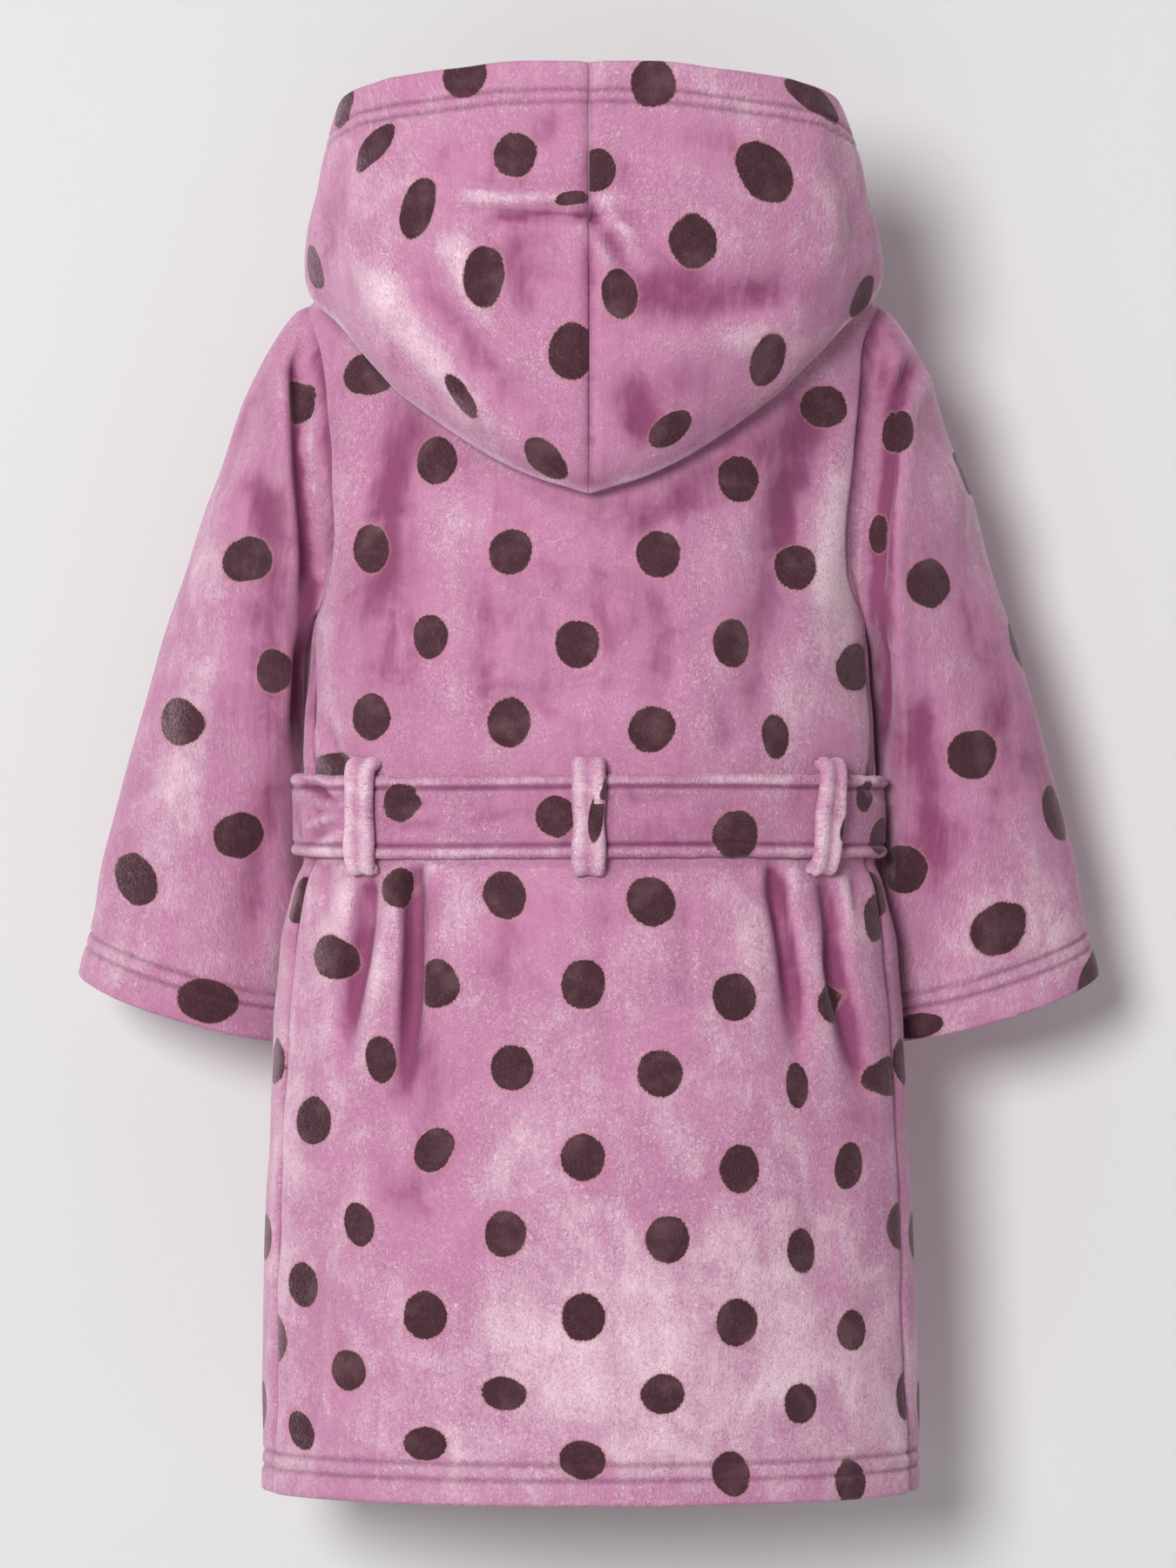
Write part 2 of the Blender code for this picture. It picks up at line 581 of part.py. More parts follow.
def make_loop(loop):
    """A loop lies on the body above the belt, steps out over it and lies on the body again below."""
    on_belt = BELT_CLEAR + BELT_THICKNESS + LOOP_CLEAR + WALL / 2
    on_body = LOOP_FLAT_CLEAR + WALL / 2
    outs = np.array([(on_belt if step.on_belt else on_body) + step.lift for step in LOOP_STEPS])
    zs = np.array([BELT_Z + loop_height(step) for step in LOOP_STEPS])
    down = (zs[0] - zs) / (zs[0] - zs[-1])
    angle = np.radians(loop.top_angle + (loop.bottom_angle - loop.top_angle) * down)
    middles = waist_point(angle, outs, zs)
    across = unit(waist_point(angle + TANGENT_STEP, outs, zs) - middles)
    out = unit(np.cross(np.gradient(middles, axis=0), across))
    rings = strip_rings(middles, across, out, np.full(len(zs), LOOP_HALF_WIDTH), WALL)
    add_loft(f"belt_loop_{loop.name}", rings)


def knot_middle():
    return waist_point(np.array(pi), BELT_CLEAR + BELT_THICKNESS, BELT_Z) + [0, KNOT_HALF[1] + KNOT_CLEAR, 0]


def make_knot():
    """A flat round knot with a band across it, just in front of the belt."""
    levels = np.linspace(-KNOT_REACH, KNOT_REACH, KNOT_ROWS)
    turns = np.linspace(0, 2 * pi, KNOT_COLUMNS, endpoint=False)
    high, turn = np.meshgrid(levels, turns, indexing="ij")
    size = (1 - np.abs(high) ** KNOT_ROUNDING[0]) ** KNOT_ROUNDING[1]
    from_band = (high + KNOT_BAND_SLANT * np.cos(turn)) / KNOT_BAND_SPREAD
    band = 1 + KNOT_BAND * np.exp(-(from_band**2))
    x = KNOT_HALF[0] * size * np.cos(turn) * band
    y = KNOT_HALF[1] * size * np.sin(turn) * np.where(np.sin(turn) > 0, band, 1)
    add_loft("belt_knot", stack(x, y, KNOT_HALF[2] * high) + knot_middle())


def make_tail(tail):
    """A tail leaves the knot gathered, widens and hangs clear of the skirt, turned a little to its side."""
    down = np.linspace(0, 1, TAIL_ROWS)
    start = knot_middle() - [0, 0, KNOT_HALF[2] * KNOT_REACH + TAIL_BELOW_KNOT]
    x = tail.side * (TAIL_START_X + tail.spread * down**TAIL_SPREADS_AS)
    z = start[2] - tail.length * down
    skirt = body(pi + x / half_width(z), z, LAP_LIFT)[:, 1]
    sway = TAIL_WAVE * np.sin(down * TAIL_WAVES + tail.side)
    y = np.maximum(start[1] - TAIL_LEAN * down, skirt + TAIL_FROM_SKIRT) + sway
    middles = stack(x, y, z)
    widening = smoothstep(0, TAIL_WIDENS_OVER, down)
    wide = TAIL_HALF_WIDTH * (TAIL_NECK_SHARE + (1 - TAIL_NECK_SHARE) * widening)
    across = unit(stack(1, -TAIL_TURN * tail.side, TAIL_TILT * tail.side * down))
    out = unit(np.cross(np.gradient(middles, axis=0), across))
    add_loft(f"belt_tail_{tail.name}", strip_rings(middles, across, out, wide, TAIL_THICKNESS))


def main():
    for obj in list(bpy.data.objects):
        bpy.data.objects.remove(obj)
    make_back()
    for name, side in (("left", -1), ("right", 1)):
        make_front(f"front_{name}", side)
        make_sleeve(f"sleeve_{name}", side)
        make_hood(f"hood_{name}", side)
    make_belt()
    for loop in LOOPS:
        make_loop(loop)
    make_knot()
    for tail in TAILS:
        make_tail(tail)


main()
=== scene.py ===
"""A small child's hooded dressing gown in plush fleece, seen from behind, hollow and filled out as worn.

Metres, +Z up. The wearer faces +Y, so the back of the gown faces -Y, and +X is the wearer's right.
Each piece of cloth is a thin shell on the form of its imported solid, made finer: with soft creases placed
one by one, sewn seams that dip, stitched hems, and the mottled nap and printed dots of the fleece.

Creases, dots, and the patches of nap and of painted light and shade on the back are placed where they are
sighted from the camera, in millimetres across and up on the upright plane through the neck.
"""

from collections import namedtuple
from math import pi

import bpy
import numpy as np
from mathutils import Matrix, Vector


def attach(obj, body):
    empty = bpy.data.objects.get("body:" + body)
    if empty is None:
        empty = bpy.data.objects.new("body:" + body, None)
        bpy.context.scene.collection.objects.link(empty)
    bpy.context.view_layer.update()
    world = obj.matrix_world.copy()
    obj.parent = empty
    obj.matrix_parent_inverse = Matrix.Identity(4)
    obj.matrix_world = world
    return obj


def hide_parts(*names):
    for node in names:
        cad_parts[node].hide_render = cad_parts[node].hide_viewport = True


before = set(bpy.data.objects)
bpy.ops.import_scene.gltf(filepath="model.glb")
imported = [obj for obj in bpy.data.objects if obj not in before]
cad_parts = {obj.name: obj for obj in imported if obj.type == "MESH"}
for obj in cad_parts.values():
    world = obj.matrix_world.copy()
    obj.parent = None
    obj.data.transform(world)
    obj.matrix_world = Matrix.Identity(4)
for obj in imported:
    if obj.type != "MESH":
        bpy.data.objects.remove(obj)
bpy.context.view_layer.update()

# Camera
CAMERA_DISTANCE = 3.5
CAMERA_X = -0.0004
CAMERA_Z = -0.248
FRAME_HEIGHT = 0.756  # at the plane through the neck
SENSOR = 36
LIGHT_AIM = (0, 0, -0.3)

# Cloth
WALL = 0.003
SEAM_GAP = 0.0004
ARMHOLE_GAP = 0.0011
SEAM_DIP = 0.0016
SEAM_SPREAD = 0.0030
SEAM_SHADE = 1.1  # how much deeper a seam's painted shade is than its dip
CREASE_SHADE = 0.0045  # the depth of a crease that darkens its colour by one, as painted shade (a ridge is painted paler)
ARMHOLE_DIP = 0.0022
ARMHOLE_SPREAD = 0.0030
ARMHOLE_LOW = (-0.150, -0.110)  # heights between which the dip fades in above the underarm
ARMHOLE_HIGH = (-0.022, -0.040)  # and below the shoulder
UNDERARM_REACH = (0.005, 0.024)  # from the underarm, where creases start and are full
RIDGE_HEIGHT = 0.0022  # of the sleeve's cloth beside the armhole
RIDGE_AT = 0.0068
RIDGE_SPREAD = 0.0034
RIDGE_LOW = (-0.150, -0.120)
RIDGE_HIGH = (-0.022, -0.045)

# Grids
BACK_COLUMNS = 151
ARMHOLE_ROWS = 66
PANEL_STEP = 0.0030
FRONT_STEP = 0.0028
SLEEVE_COLUMNS = 132
HOOD_COLUMNS = 96
HOOD_FOLD_ROW = 33
BELT_ROWS = 340
BELT_COLUMNS = 49
RIBBON_COLUMNS = 33
LOOP_ROWS = 60
KNOT_ROWS, KNOT_COLUMNS = 84, 110
TAIL_ROWS = 150

# Body
HEM_Z = -0.5875
NECK_HALF_WIDTH = 0.052
NECK_TOP_Z = 0.010
NECK_BACK_DEPTH = 0.80
SHOULDER_HALF_WIDTH = 0.146
NECK_ANGLE = np.arcsin(NECK_HALF_WIDTH / SHOULDER_HALF_WIDTH)
SHOULDER_SLOPE = 0.30
SHOULDER_TIP = np.radians(73)
SHOULDER_SEAM_Y = 0.004
DOME_HEIGHT = 0.060
DOME_LENGTH = 0.100
UNDERARM_RISE = -0.168
LOW_CHEST_RISE = -0.200
LAP_LIFT = 0.0038
LAP_REACH = (0.80, 0.45)  # radians from the centre front where the lift starts and is full
LAP_RISE = (-0.045, -0.105)  # rises where it starts and is full

Section = namedtuple("Section", "z half_width half_depth")
SECTIONS = [
    Section(-0.640, 0.1590, 0.0945),
    Section(-0.587, 0.1580, 0.0935),
    Section(-0.545, 0.1575, 0.0910),
    Section(-0.485, 0.1565, 0.0895),
    Section(-0.430, 0.1545, 0.0885),
    Section(-0.381, 0.1520, 0.0875),
    Section(-0.345, 0.1495, 0.0860),
    Section(-0.310, 0.1450, 0.0830),
    Section(-0.293, 0.1405, 0.0795),
    Section(-0.285, 0.1372, 0.0772),
    Section(-0.242, 0.1372, 0.0772),
    Section(-0.234, 0.1380, 0.0790),
    Section(-0.215, 0.1370, 0.0815),
    Section(-0.171, 0.1325, 0.0815),
    Section(-0.125, 0.1300, 0.0790),
    Section(-0.090, 0.1310, 0.0755),
    Section(-0.045, 0.1370, 0.0710),
    Section(0.000, 0.1450, 0.0700),
    Section(0.040, 0.1460, 0.0700),
]

SideSeam = namedtuple("SideSeam", "rise angle")
SIDE_SEAM = [SideSeam(-0.5875, 74), SideSeam(-0.350, 74), SideSeam(-0.240, 78), SideSeam(-0.168, 84)]
Armhole = namedtuple("Armhole", "rise back_angle front_angle")
ARMHOLE = [
    Armhole(-0.168, 84, 84),
    Armhole(-0.164, 79, 91),
    Armhole(-0.150, 74, 99),
    Armhole(-0.125, 71, 106),
    Armhole(-0.090, 70, 110),
    Armhole(-0.045, 71, 109),
    Armhole(0.0237, 73, 107),
]
FrontEdge = namedtuple("FrontEdge", "rise across")
FRONT_EDGES = [
    FrontEdge(-0.5875, -0.052),
    FrontEdge(-0.300, -0.052),
    FrontEdge(-0.235, -0.046),
    FrontEdge(-0.180, -0.026),
    FrontEdge(-0.120, 0.002),
    FrontEdge(-0.050, 0.029),
    FrontEdge(0.000, 0.044),
    FrontEdge(0.050, 0.052),
]
Fold = namedtuple("Fold", "top_angle bottom_angle top bottom depth half_angle")
FOLDS = [
    Fold(-34, -35, -0.292, -0.415, 0.0070, 4.6),
    Fold(-46, -51, -0.294, -0.395, 0.0045, 4.6),
    Fold(38, 43, -0.292, -0.400, 0.0065, 4.6),
    Fold(50, 60, -0.294, -0.430, 0.0045, 5.0),
    Fold(56, 36, -0.060, -0.236, 0.0030, 8.0),
    Fold(-41, -52, -0.060, -0.190, 0.0025, 8.0),
    Fold(112, 106, -0.292, -0.420, 0.0040, 6.0),
    Fold(-110, -104, -0.292, -0.430, 0.0045, 6.0),
    Fold(139, 135, -0.292, -0.400, 0.0060, 6.0),
    Fold(-141, -136, -0.292, -0.380, 0.0060, 6.0),
    Fold(122, 134, -0.090, -0.236, 0.0030, 8.0),
    Fold(-124, -136, -0.080, -0.236, 0.0030, 8.0),
]

Sleeve = namedtuple("Sleeve", "along outer_x outer_z inner_x inner_z middle_y half_depth")
SLEEVE = [
    Sleeve(0.00, 0.1410, -0.018, 0.1330, -0.168, 0.002, 0.030),
    Sleeve(0.10, 0.1560, -0.041, 0.1350, -0.187, 0.010, 0.038),
    Sleeve(0.25, 0.1755, -0.087, 0.1365, -0.216, 0.020, 0.041),
    Sleeve(0.45, 0.1975, -0.149, 0.1405, -0.256, 0.031, 0.042),
    Sleeve(0.65, 0.2170, -0.211, 0.1400, -0.296, 0.038, 0.041),
    Sleeve(0.85, 0.2375, -0.287, 0.1385, -0.337, 0.043, 0.039),
    Sleeve(1.00, 0.2490, -0.3415, 0.1380, -0.372, 0.047, 0.038),
]
SLEEVE_BLEND = 0.10
CUFF_BOW = 0.20
GROOVE_DEPTH = 0.011
GROOVE_AT = 0.035
GROOVE_SPREAD = 0.030

Hood = namedtuple("Hood", "along fold_across fold_turn fold_out edge_x edge_y edge_z belly")
HOOD = [
    Hood(0.00, 0.000, -69, 0.0110, 0.000, -0.1060, 0.0910, 0.036),
    Hood(0.13, 0.222, -51, 0.0110, 0.032, -0.1050, 0.0907, 0.036),
    Hood(0.26, 0.430, -28, 0.0120, 0.064, -0.0995, 0.0878, 0.034),
    Hood(0.45, 0.750, 22, 0.0120, 0.104, -0.0820, 0.0825, 0.030),
    Hood(0.62, 0.900, 62, 0.0180, 0.121, -0.0480, 0.0720, 0.020),
    Hood(0.82, 0.800, 150, 0.0120, 0.106, 0.0170, 0.0290, 0.018),
    Hood(1.00, 0.350, 169, 0.0090, 0.043, 0.0780, -0.0080, 0.008),
]
HOOD_NECK_TURN = 0.45
HOOD_FRONT_RISE = -0.022
HOOD_CLEAR = 0.0010
HOOD_ROLL = 0.007
HOOD_FOLD_SHARE = 0.42
HOOD_STEP = 0.0026
HOOD_RIM_AT = 0.0015  # the pale rim, a painted highlight along the fold: its middle, from the fold
HOOD_RIM_SPREAD = 0.0042
HOOD_RIM_HEIGHT = 0.0008
HOOD_RIM_HIGHLIGHT = 0.0045
HOOD_RIM_Z = (0.055, 0.030)  # the rim shows below these heights

# Belt, and what all its strips share
BELT_Z = -0.2633
BELT_HALF_HEIGHT = 0.0198
BELT_THICKNESS = 0.005
BELT_CLEAR = 0.0006
BELT_STITCH = 0.0062  # from each long edge to its line of stitches
BELT_STITCH_DEPTH = 0.0013
BELT_SAG = 0.0005
BELT_LUMPS = 0.0004
BELT_FRAY = 0.0004
BELT_ROLL = 0.0008
BELT_ROLL_UNEVEN = 0.35  # as a share
# The depth of a belt's crease that darkens its colour by one, as painted shade
BELT_CREASE_SHADE = 0.0035
BELT_DOT_SHIFT = 9  # columns from the middle of the belt, in turn up and down
WAIST_RADIUS = 0.112  # of the circle as long as the waist
ROLL_AT = 0.0034  # the rolled pile's middle, from a strip's edge
ROLL_SPREAD = 0.0036
EDGES_APART = 0.05  # keeps the unevenness of a strip's two edges apart

Loop = namedtuple("Loop", "name top_angle bottom_angle")
LOOPS = [Loop("left", -49, -49), Loop("centre", 0, 0), Loop("right", 54, 51)]
LOOP_HALF_WIDTH = 0.0077
LOOP_THICKNESS = 0.0048
LOOP_CLEAR = 0.0006
# How a loop runs down: over the belt or flat on the body, how far out from there, the belt's edge that it
# is measured from (1 the upper, -1 the lower, 0 the middle) and how far beyond it.
LoopStep = namedtuple("LoopStep", "over out edge beyond")
LOOP_STEPS = [
    LoopStep(False, 0.0, 1, 0.0066),
    LoopStep(False, 0.0012, 1, 0.0052),
    LoopStep(True, -0.0004, 1, 0.0034),
    LoopStep(True, 0.0014, 1, -0.0030),
    LoopStep(True, 0.0012, 0, 0.0),
    LoopStep(True, 0.0014, -1, -0.0030),
    LoopStep(True, -0.0004, -1, 0.0034),
    LoopStep(False, 0.0012, -1, 0.0056),
    LoopStep(False, 0.0, -1, 0.0072),
]

KNOT_HALF = (0.0235, 0.0125, 0.0235)
KNOT_CLEAR = 0.0012
KNOT_TURN_HALF = 0.50  # half the width of the turn on top, as a share of the knot
KNOT_FULL = 0.15  # how far that turn stands up, as a share, like the next three
KNOT_GATHERS = 0.035
KNOT_PLEATS = 0.025
KNOT_GROOVE = 0.13
KNOT_GROOVE_SPREAD = 0.06
KNOT_DOT_ROWS = [24, 58]
KNOT_DOT_SHIFT = 12  # columns from its middle

Tail = namedtuple("Tail", "name side length spread")
TAILS = [Tail("left", -1, 0.262, 0.030), Tail("right", 1, 0.284, 0.024)]
TAIL_HALF_WIDTH = 0.0195
TAIL_NECK_SHARE = 0.55
TAIL_THICKNESS = 0.0045
TAIL_DROP = 0.0011  # from the knot to a tail's start
TAIL_APART = 0.0110  # from the centre to a tail's middle, at its start
TAIL_CLEAR = 0.007  # from the skirt to a tail's middle
TAIL_SWING = 0.003

STRIP_LUMPS = 0.10  # of the loops and the tails, as shares of their thickness
STRIP_STITCH_DEPTH = 0.36
STRIP_FRAY = 0.035  # as a share of their width
STRIP_DOT_INSET = 7  # columns

# Lumps of the cloth: heights of the small and the large ones, and the size of the large ones
Lumps = namedtuple("Lumps", "small large size seed")
BACK_LUMPS = Lumps(0.0007, 0.0010, 0.055, 3)
FRONT_LUMPS = Lumps(0.0005, 0.0006, 0.055, 5)
SLEEVE_LUMPS = Lumps(0.0006, 0.0010, 0.050, 7)
HOOD_LUMPS = Lumps(0.0006, 0.0010, 0.050, 9)
SMALL_LUMP = 0.020

# Stitched hems: how far each of the two rows lies from the edge, and the thickness that the hem adds
Hem = namedtuple("Hem", "near far extra")
SKIRT_HEM = Hem(0.0120, 0.0195, 0.0016)
CUFF_HEM = Hem(0.0160, 0.0230, 0.0014)
HOOD_HEM = Hem(0.0150, 0.0210, 0.0014)
FRONT_HEM = Hem(0.0150, 0.0210, 0.0012)
HEM_STOPS = np.concatenate([[0, 0.0003, 0.0008, 0.0015], np.arange(0.0024, 0.026, 0.0009)])
ARMHOLE_STOPS = [0, 0.0015, 0.003, 0.005, 0.0075]  # as shares of the sleeve's length
STITCH_DEPTH = 0.0011
STITCH_SPREAD = 0.0012

# Creases as sighted: depth in (a ridge's is negative) and half width in mm, how much of the depth stands
# up as ridges beside it, the shares of its length over which it fades in and out, and its line in mm.
Crease = namedtuple("Crease", "depth width ridge fade_in fade_out line")
BACK_CREASES = [
    Crease(8.0, 3.8, 0.30, 0.02, 0.60, [(-84, -286), (-84, -320), (-85, -350), (-88, -385), (-92, -420)]),
    Crease(
        4.5, 4.2, 0.30, 0.05, 0.60, [(-107, -290), (-108, -315), (-112, -345), (-118, -375), (-123, -400)]
    ),
    Crease(2.2, 3.0, 0.30, 0.05, 0.50, [(-127, -286), (-127, -300), (-126, -318)]),
    Crease(5.5, 3.8, 0.40, 0.02, 0.60, [(90, -286), (91, -305), (95, -330), (99, -355), (105, -395)]),
    Crease(4.5, 3.8, 0.30, 0.05, 0.60, [(113, -291), (117, -315), (119, -340), (127, -375), (136, -415)]),
    Crease(2.0, 3.0, 0.30, 0.10, 0.50, [(128, -290), (129, -302), (130, -318)]),
    Crease(1.3, 5.0, 0.20, 0.10, 0.70, [(6, -294), (8, -330), (11, -370), (14, -418)]),
    Crease(1.4, 5.0, 0.20, 0.20, 0.70, [(-40, -296), (-42, -340), (-47, -390)]),
    Crease(1.2, 5.0, 0.20, 0.20, 0.70, [(45, -296), (47, -335), (45, -380)]),
    Crease(2.2, 3.6, 0.40, 0.15, 0.25, [(-131, -215), (-126, -226), (-121, -236), (-112, -239)]),
    Crease(2.0, 10.0, 0.20, 0.25, 0.25, [(104, -58), (94, -110), (84, -165), (78, -238)]),
    Crease(2.6, 10.0, 0.10, 0.25, 0.25, [(-88, -60), (-97, -100), (-101, -130), (-103, -170)]),
    Crease(1.5, 6.0, 0.30, 0.30, 0.30, [(-60, -120), (-52, -170), (-50, -225)]),
    Crease(1.2, 7.0, 0.30, 0.30, 0.30, [(30, -140), (36, -190), (33, -232)]),
    Crease(1.6, 5.0, 0.30, 0.30, 0.20, [(60, -200), (66, -220), (68, -238)]),
    Crease(1.4, 8.0, 0.10, 0.30, 0.40, [(-30, -430), (-55, -480), (-60, -540)]),
    Crease(1.6, 9.0, 0.10, 0.30, 0.40, [(100, -420), (112, -470), (116, -540)]),
    Crease(1.6, 8.0, 0.10, 0.30, 0.40, [(-128, -420), (-134, -480), (-136, -545)]),
]
HOOD_CREASES = [
    Crease(6.0, 5.5, 0.10, 0.02, 0.80, [(-1, 29), (-1, 25)]),
    Crease(4.4, 3.4, 0.55, 0.02, 0.60, [(0, 27), (8, 19), (14, 10), (20, 0), (28, -8)]),
    Crease(2.6, 3.2, 0.60, 0.02, 0.80, [(0, 28), (14, 27), (28, 24), (42, 20)]),
    Crease(-4.2, 4.0, 0.30, 0.35, 0.02, [(-74, 36), (-52, 35), (-34, 33), (-18, 34), (-2, 33)]),
    Crease(3.4, 2.8, 0.20, 0.35, 0.02, [(-50, 27), (-34, 27), (-18, 28), (-2, 27)]),
    Crease(-3.0, 8.0, 0.30, 0.20, 0.25, [(-112, 20), (-98, -14), (-70, -48), (-34, -88)]),
    Crease(2.4, 10.0, 0.20, 0.20, 0.25, [(-92, 18), (-72, -18), (-48, -50), (-22, -78)]),
    Crease(-2.2, 8.0, 0.20, 0.20, 0.25, [(-70, 24), (-58, -6), (-46, -34)]),
    Crease(3.0, 15.0, 0.30, 0.20, 0.35, [(12, 4), (34, -8), (66, -14), (98, -8), (118, 6)]),
    Crease(-2.4, 9.0, 0.20, 0.25, 0.25, [(14, -26), (44, -34), (80, -30), (112, -14)]),
    Crease(2.0, 8.0, 0.20, 0.25, 0.30, [(14, -50), (24, -68), (22, -90)]),
    Crease(1.8, 8.0, 0.20, 0.25, 0.30, [(-14, 84), (-28, 62), (-52, 48)]),
    Crease(1.8, 9.0, 0.20, 0.25, 0.30, [(20, 78), (50, 66), (84, 62)]),
    Crease(1.6, 6.0, 0.30, 0.20, 0.20, [(118, 60), (127, 30), (132, 4)]),
    Crease(1.6, 6.0, 0.30, 0.20, 0.20, [(-116, 62), (-124, 30), (-128, 6)]),
]
SLEEVE_LEFT_CREASES = [
    Crease(
        *(5.5, 4.2, 0.30, 0.06, 0.15),
        [(-142, -36), (-139, -55), (-137, -80), (-134, -122), (-136, -164), (-143, -240)],
    ),
    Crease(3.5, 6.5, 0.10, 0.30, 0.30, [(-131, -110), (-131, -150), (-134, -200), (-140, -250)]),
    Crease(3.0, 12.0, 0.20, 0.30, 0.30, [(-150, -70), (-160, -130), (-172, -200), (-180, -270)]),
    Crease(2.6, 11.0, 0.20, 0.30, 0.30, [(-185, -150), (-205, -210), (-222, -270), (-232, -320)]),
    Crease(1.8, 8.0, 0.20, 0.30, 0.30, [(-150, -230), (-158, -290), (-166, -345)]),
    Crease(1.6, 7.0, 0.20, 0.30, 0.30, [(-170, -96), (-158, -112), (-150, -120)]),
]
SLEEVE_RIGHT_CREASES = [
    Crease(
        *(5.5, 4.2, 0.30, 0.06, 0.15),
        [(156, -38), (148, -64), (144, -92), (141, -125), (141, -166), (145, -240)],
    ),
    Crease(3.5, 6.5, 0.10, 0.30, 0.30, [(136, -100), (135, -150), (137, -200), (142, -250)]),
    Crease(2.6, 12.0, 0.20, 0.30, 0.30, [(172, -90), (186, -150), (196, -210), (204, -280)]),
    Crease(2.4, 11.0, 0.20, 0.30, 0.30, [(158, -170), (164, -230), (172, -300), (178, -350)]),
    Crease(1.8, 8.0, 0.20, 0.30, 0.30, [(210, -210), (222, -260), (232, -310)]),
    Crease(1.6, 7.0, 0.20, 0.30, 0.30, [(150, -60), (166, -76), (182, -96)]),
]
FRONT_CREASES = [
    Crease(3.0, 4.0, 0.40, 0.05, 0.60, [(-60, -292), (-64, -330), (-70, -380), (-74, -430)]),
    Crease(3.0, 4.0, 0.40, 0.05, 0.60, [(62, -292), (67, -335), (70, -390), (72, -440)]),
    Crease(2.4, 4.5, 0.30, 0.05, 0.60, [(30, -292), (34, -330), (40, -390)]),
    Crease(2.6, 9.0, 0.20, 0.25, 0.30, [(-96, -60), (-84, -120), (-62, -190), (-48, -238)]),
    Crease(2.6, 9.0, 0.20, 0.25, 0.30, [(92, -56), (82, -120), (66, -180), (52, -238)]),
    Crease(1.8, 5.0, 0.30, 0.25, 0.30, [(-116, -150), (-96, -180), (-70, -216)]),
    Crease(1.8, 5.0, 0.30, 0.25, 0.30, [(114, -142), (98, -176), (80, -214)]),
    Crease(1.6, 8.0, 0.20, 0.30, 0.40, [(-110, -430), (-116, -500), (-118, -560)]),
    Crease(1.6, 8.0, 0.20, 0.30, 0.40, [(106, -440), (112, -500), (114, -560)]),
]
SLEEVE_FRONT_CREASES = [
    Crease(2.8, 11.0, 0.20, 0.30, 0.30, [(150, -60), (164, -130), (178, -200), (190, -270)]),
    Crease(2.4, 9.0, 0.20, 0.30, 0.30, [(150, -150), (158, -220), (164, -290), (170, -350)]),
    Crease(2.0, 7.0, 0.30, 0.30, 0.30, [(146, -120), (166, -136), (190, -150)]),
    Crease(1.8, 9.0, 0.20, 0.30, 0.30, [(196, -180), (212, -240), (224, -300)]),
]
BELT_CREASES = [
    Crease(2.4, 2.4, 0.6, 0.1, 0.2, [(-139, -247), (-131, -250), (-124, -256), (-118, -258)]),
    Crease(2.0, 2.2, 0.6, 0.2, 0.1, [(-134, -262), (-127, -261), (-117, -263)]),
    Crease(2.0, 2.4, 0.6, 0.3, 0.1, [(-138, -276), (-130, -272), (-123, -268), (-117, -267)]),
    Crease(1.6, 2.4, 0.3, 0.2, 0.3, [(-140, -254), (-141, -264), (-139, -276)]),
    Crease(1.4, 2.0, 0.5, 0.1, 0.5, [(-94, -256), (-84, -257), (-74, -260)]),
    Crease(1.2, 2.0, 0.5, 0.1, 0.5, [(-93, -270), (-80, -268), (-68, -268)]),
    Crease(1.5, 2.2, 0.5, 0.1, 0.5, [(134, -250), (140, -252), (146, -255)]),
    Crease(1.0, 3.0, 0.3, 0.2, 0.4, [(14, -252), (34, -256), (60, -255)]),
    Crease(0.9, 3.0, 0.3, 0.2, 0.4, [(-60, -268), (-40, -264), (-18, -266)]),
]

